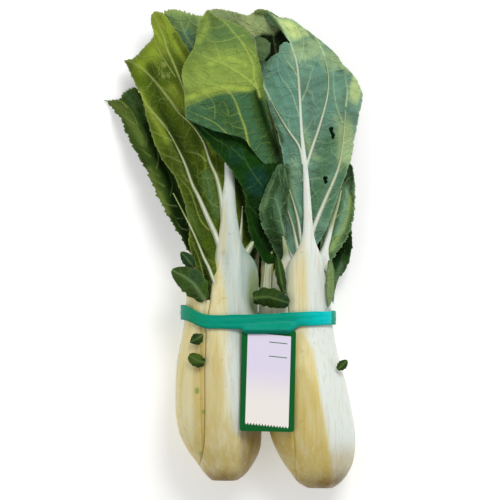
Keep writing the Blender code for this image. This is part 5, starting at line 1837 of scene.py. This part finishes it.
LEFT_BACK_STALK = Stalk("left_back_stalk", LEFT_HEAD, (152, 263),
    ((262, 208, 16.5, 12.5, 150, 228, 4.2), (235, 205, 10.5, 6, 100, 260, 4.6)),
    ribs=((Rib(BACK_MAIN, (8, 1.8), (4.6, 1), under=True), left_back_height),),
    patches=LEFT_BASE + (Patch(CREAM, (215, 390), (60, 120), 0.7),))
LEFT_FAR_STALK = Stalk("left_far_stalk", LEFT_HEAD, (97, 150),
    ((262, 244, 19.5, 11.5, 110, 180, 4.2), (235, 249, 18.2, 5.5, 100, 260, 4.4)),
    ribs=((Rib(FAR_MAIN, (7, 1.8), (4.4, 1), under=True), left_far_height),),
    patches=LEFT_BASE + (Patch(CREAM, (250, 390), (60, 120), 0.8), Patch(BROWN, (258, 455), (14, 34), 0.7)))
LEFT_STALKS = (LEFT_FRONT_STALK, LEFT_OUTER_STALK, LEFT_SLIP_STALK, LEFT_BACK_STALK, LEFT_FAR_STALK)


# Stalks of the right head, from the front round to the back
RIGHT_BASE = (
    Patch(BROWN, (318, 502), (80, 25), 0.95, -6, 1), Patch(TAN, (318, 486), (90, 36), 0.55, -6))
RIGHT_FRONT_STALK = Stalk("right_front_stalk", RIGHT_HEAD, (-27, 57),
    ((268, 306, 33.5, 15.5, -62, 55, 4.6), (252, 307.5, 41, 8.8, -75, 75, 4.6),
        (238, 308, 45.2, 4.6, -86, 86, 4), (220, 307.8, 46.6, 3.2, -86, 86, 2.7),
        (200, 307, 46.3, 2.7, -86, 86, 2.2), (170, 305.3, 47.5, 1.9, -86, 86, 1.5),
        (150, 303.2, 48.4, 1.5, -86, 86, 1.1), (130, 301.3, 49.1, 1.1, -86, 86, 0.8),
        (90, 299, 49.8, 0.9, -86, 86, 0.7), (64, 296.5, 49.2, 0.8, -86, 86, 0.6),
        (46, 291, 48.1, 0.55, -86, 86, 0.4)),
    (24, 1.2),
    ribs=((Rib(RIGHT_SHORT, (4.4, 1), (3.4, 0.6), (0, 0.6)), right_front_height),
        (Rib(RIGHT_THIRD, (4.4, 1), (3.4, 0.6), (0, 0.6)), right_front_height),
        (Rib(RIGHT_INNER, (2.4, 0.9), (2, 0.5), (0, 0.8)), right_front_height),
        (Rib(RIGHT_OUTER, (3.2, 1), (2.4, 0.5), (0, 0.8)), right_front_height),
        (Rib(RIGHT_EDGE, (4.4, 1), (3, 0.5), (0, 0.9)), right_front_height)),
    left_edge=FRONT_LEFT, right_edge=FRONT_RIGHT,
    # Painted shade: the cream and tan regions make the left face yellower and darker than the lit right face.
    patches=RIGHT_BASE + (Region(
            CREAM, ((280, 328), (303, 332), (313.5, 350), (320.5, 400), (328, 440), (335, 486), (280, 492)),
            5, 1),
        Region(TAN, ((284, 370), (304, 366), (314, 384), (320, 408), (327, 446), (332, 486), (284, 492)), 9,
            0.5),
        Patch(CREAM, (299, 300), (9, 56), 0.7, 0, 1), Patch(TAN, (346, 478), (16, 18), 0.35),
        Patch(GREEN, (290, 300), (4, 40), 0.35)))
RIGHT_LEFT_STALK = Stalk("right_left_stalk", RIGHT_HEAD, (-95, -29),
    ((275, 286, 29.5, 9.5, -110, -20, 3.8), (258, 287, 35.4, 3.4, -86, 86, 2.8),
        (247, 285.2, 39.6, 1.8, -86, 86, 1.4), (236, 283.2, 43.6, 0.8, -86, 86, 0.6)),
    right_edge=FRONT_LEFT,
    patches=RIGHT_BASE + (Patch(CREAM, (282, 420), (40, 70), 1), Patch(TAN, (282, 440), (40, 46), 0.75),
        Patch(CREAM, (284, 300), (12, 40), 0.4), Patch(GREEN, (284, 240), (8, 17), 0.7)))
RIGHT_RIGHT_STALK = Stalk("right_right_stalk", RIGHT_HEAD, (59, 135),
    ((275, 315, 28, 12, 50, 110, 4), (252, 324, 33, 3.4, -60, 86, 3), (238, 328.5, 32, 2, -86, 86, 1.6),
        (222, 333, 31, 1.4, -86, 86, 1.1), (205, 338, 30.8, 1, -86, 86, 0.7),
        (190, 341.5, 30.4, 0.6, -86, 86, 0.4)),
    left_edge=FRONT_RIGHT, patches=RIGHT_BASE + (Patch(GREEN, (338, 205), (12, 26), 0.7),))
RIGHT_BACK_STALK = Stalk("right_back_stalk", RIGHT_HEAD, (137, 215),
    ((262, 306, 20, 15, 150, 210, 4.2), (235, 308, 9, 6.5, 105, 255, 4.8)),
    ribs=((Rib(RIGHT_BACK, (8, 2), (4.4, 0.9), under=True), right_back_height),),
    patches=RIGHT_BASE + (Patch(CREAM, (310, 400), (60, 110), 0.6),))
CENTRE_STALK = Stalk("centre_stalk", RIGHT_HEAD, (217, 263),
    ((275, 280, 24, 13, 205, 285, 4.6), (245, 272, 25, 6, 160, 300, 4.8),
        (200, 268, 32, 4.5, 140, 300, 4), (150, 266, 38, 3, 110, 290, 2.8)),
    ribs=((Rib(((266, 322), (266.5, 290), (267.5, 266), (269, 244)), (11, 7), (2.2, 0.8), (0.4, 0.7)),
            slope(32, 267, 264, 0, 0.02)),
        (Rib(((263, 306), (264, 284), (266, 262), (268, 246)), (2.6, 1.2), (0.9, 0.5), (0.1, 0.6)),
            slope(34, 267, 264, 0, 0.02)),
        (Rib(((270, 306), (270.1, 292), (270.3, 278), (270.6, 266)), (2.6, 1.2), (0.9, 0.5), (0.1, 0.6)),
            slope(33.4, 267, 264, 0, 0.02))),
    patches=RIGHT_BASE + (Patch(CREAM, (275, 320), (40, 160), 0.9), Patch(GREEN, (270, 262), (10, 20), 0.5)))
RIGHT_STALKS = (RIGHT_FRONT_STALK, RIGHT_LEFT_STALK, RIGHT_RIGHT_STALK, RIGHT_BACK_STALK, CENTRE_STALK)


# Band


@dataclass(frozen=True)
class TieBand:
    """The flat band round both heads, with a neck that steps over the tag's top edge."""

    left: tuple[float, float, float] = (221.0, 0.0282, 0.0262)
    right: tuple[float, float, float] = (302.0, 0.0282, 0.0218)

    def line(self, count: int) -> Array:
        """Trace the tight line round both heads.

        Its reach in each direction is the greater of the two rounds' reaches. The place is that
        reach and its slope, turned into X and Z, and read at even steps.

        Args:
            count: Points round the line.

        Returns:
            X and Z of each point, from the middle of the front, one row each.
        """
        turn = np.linspace(0.0, 2 * math.pi, 1441)
        places = []
        for across, z, radius in (self.left, self.right):
            x = (across - MIDDLE_ACROSS) * UNIT
            places.append((x * np.sin(turn) + z * np.cos(turn) + radius,
                           np.stack([x + radius * np.sin(turn), z + radius * np.cos(turn)], axis=-1)))
        first = places[0][0] >= places[1][0]
        loop = np.where(first[:, None], places[0][1], places[1][1])
        along = np.concatenate([[0.0], np.cumsum(np.linalg.norm(np.diff(loop, axis=0), axis=1))])
        even = np.linspace(0.0, along[-1], count, endpoint=False)
        return np.column_stack([np.interp(even, along, loop[:, k]) for k in range(2)])

    def body(self) -> Body:
        """Build the band: a strip carried round the line, whose front reaches down over the tag.

        Returns:
            The closed band with its painted masks.
        """
        rows, columns = 21, 336
        loop = self.line(columns)
        tangent = np.roll(loop, -1, axis=0) - np.roll(loop, 1, axis=0)
        tangent /= np.linalg.norm(tangent, axis=1)[:, None]
        out = np.column_stack([-tangent[:, 1], tangent[:, 0]])
        out *= np.sign((out * (loop - loop.mean(axis=0))).sum())
        across = (loop[:, 0] / UNIT + MIDDLE_ACROSS)[None, :]
        r = np.linspace(0.0, 1.0, rows)[:, None]
        middle = 321.5 - 9.0 * ease((214.0 - across) / 30.0) ** 1.5 - 3.6 * ease((across - 225.0) / 110.0)
        is_front = (out[:, 1] > 0.5).astype(float)[None, :]
        neck = ease((across - 240.5) / 4.5) * ease((300.0 - across) / 14.0) * is_front
        half = BAND_HEIGHT / UNIT / 2
        wobble = 0.35 * np.sin(across / 9.0) + 0.25 * np.sin(across / 4.1 + 1.0)
        down = middle - half + 2 * half * r + wobble * (r - 0.5)
        down = down + neck * (333.4 - middle - half) * ease((r - 0.25) / 0.75)
        bulge = 0.25 * (1.0 - (2 * r - 1) ** 2) * MM
        crease = 0.10 * np.sin(5 * math.pi * r + across / 30.0) * MM
        reach = BAND_GAP + BAND_THICKNESS + bulge * (1 - 0.7 * neck) + crease
        x = loop[:, 0][None, :] + reach * out[:, 0][None, :]
        z = loop[:, 1][None, :] + reach * out[:, 1][None, :]
        share = np.clip((across - 242.0) / 52.0, 0.0, 1.0)
        step = (np.interp(down, NECK_DOWN, NECK_LEFT) * (1 - share)
                + np.interp(down, NECK_DOWN, NECK_RIGHT) * share) * MM
        over = neck * ease((down - 320.0) / 4.0)
        z = np.maximum(z, z * (1 - over) + (step + 0.05 * MM) * over)
        y = np.broadcast_to((MIDDLE_DOWN - down) * UNIT, x.shape)
        outer = np.stack([x, y, z], axis=-1)
        wall = (0.75 * (1 - 0.25 * over)) * MM
        inner = outer - np.stack([out[:, 0][None] * wall, 0.0 * wall, out[:, 1][None] * wall], axis=-1)
        points = np.concatenate([outer, inner[::-1]], axis=0)
        faces = grid_faces(2 * rows, columns, closed=True)
        last, here = (2 * rows - 1) * columns, np.arange(columns)
        following = (here + 1) % columns
        seam = np.column_stack([last + here, last + following, following, here])
        masks = {
            # Painted light and shade: a highlight toward the right of the front, and shade where the neck
            # lies over the tag and along the lower edge.
            LIT: ease((across - 285.0) / 45.0) * is_front + 0.0 * r,
            GREEN: ease((214.0 - across) / 22.0) * is_front + 0.0 * r,
            SHADE: np.maximum(0.85 * neck * ease((down - 328.5) / 2.5), 0.35 * ease((r - 0.75) / 0.25)),
        }
        painted = {tint: np.concatenate([mask, mask[::-1]], axis=0).ravel() for tint, mask in masks.items()}
        return Body(points.reshape(-1, 3), np.vstack([faces, seam]), painted).turned_out()

    def make(self) -> None:
        """Add the band to the scene."""
        add_piece("tie_band_fine", self.body(), BandFinish().material(), "tie_band")


def dress_solid(node: str, material: Material) -> None:
    """Give a solid that stays its finish.

    Args:
        node: The solid's name.
        material: The finish.
    """
    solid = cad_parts[node]
    for place in solid.material_slots:
        place.material = material
    LOG.info("%s: kept, with its own finish", node)


# Studio


@dataclass(frozen=True)
class Studio:
    """Pale floor, soft lights and a camera that looks straight down on the bunch."""

    middle: Place = (250.0, 250.0)
    view: float = 500.0
    distance: float = 2.6
    leaf_level: float = 0.040
    floor_reach: float = 3.0
    floor_level: float = -0.0004
    floor_glow: float = 0.26
    room_glow: float = 0.46

    def make(self) -> None:
        """Add the floor, the lights and the camera."""
        scene = bpy.context.scene
        mesh = bpy.data.meshes.new("floor")
        corners = [(a * self.floor_reach, b * self.floor_reach, self.floor_level)
                   for a, b in ((-1, -1), (1, -1), (1, 1), (-1, 1))]
        mesh.from_pydata(corners, [], [(0, 1, 2, 3)])
        floor = bpy.data.objects.new("floor", mesh)
        scene.collection.objects.link(floor)
        pale = bpy.data.materials.new("pale_floor")
        pale.use_nodes = True
        shader = pale.node_tree.nodes["Principled BSDF"]
        shader.inputs["Base Color"].default_value = (0.90, 0.90, 0.89, 1.0)
        shader.inputs["Roughness"].default_value = 0.9
        shader.inputs["Emission Color"].default_value = (1.0, 1.0, 1.0, 1.0)
        shader.inputs["Emission Strength"].default_value = self.floor_glow
        mesh.materials.append(pale)
        x, y = (float(value) for value in front(*self.middle))
        lens = bpy.data.cameras.new("camera")
        lens.sensor_width = 36.0
        lens.lens = 36.0 * (self.distance - self.leaf_level) / (self.view * UNIT)
        lens.clip_end = 20.0
        camera = bpy.data.objects.new("camera", lens)
        camera.location = (x, y, self.distance)
        scene.collection.objects.link(camera)
        scene.camera = camera
        self.light("key", (0.42, 0.90, 1.15), 0.6, 13.0, (x, y, 0.03))
        self.light("fill", (-0.9, -0.3, 1.0), 1.2, 3.0, (x, y, 0.03))
        world = bpy.data.worlds.new("studio")
        world.use_nodes = True
        ground = world.node_tree.nodes["Background"]
        ground.inputs["Color"].default_value = (1.0, 1.0, 1.0, 1.0)
        ground.inputs["Strength"].default_value = self.room_glow
        scene.world = world
        scene.view_settings.view_transform = "Standard"

    def light(self, name: str, place: tuple[float, float, float], size: float, power: float,
              target: tuple[float, float, float]) -> None:
        """Add a square soft light that faces a target.

        Args:
            name: The light's name.
            place: Where it stands, in metres.
            size: Side of the square.
            power: Its power in watts.
            target: The place that it faces.
        """
        lamp = bpy.data.lights.new(name, "AREA")
        lamp.size = size
        lamp.energy = power
        item = bpy.data.objects.new(name, lamp)
        item.location = place
        toward = Vector(target) - Vector(place)
        item.rotation_euler = toward.to_track_quat("-Z", "Y").to_euler()
        bpy.context.scene.collection.objects.link(item)


def main() -> None:
    """Dress the bunch and set up the studio."""
    logging.basicConfig(level=logging.INFO, format="%(name)s: %(message)s")
    stalk = StalkFinish().material()
    for part in LEFT_STALKS + RIGHT_STALKS:
        part.make(stalk)
    for leaf in LEFT_LEAVES + CENTRE_LEAVES + RIGHT_LEAVES + SMALL_LEAVES:
        leaf.make()
    TieBand().make()
    butt = ButtFinish().material()
    dress_solid("left_butt", butt)
    dress_solid("right_butt", butt)
    dress_solid("tag_card", TagFinish().material())
    Studio().make()


if __name__ == "__main__":
    main()
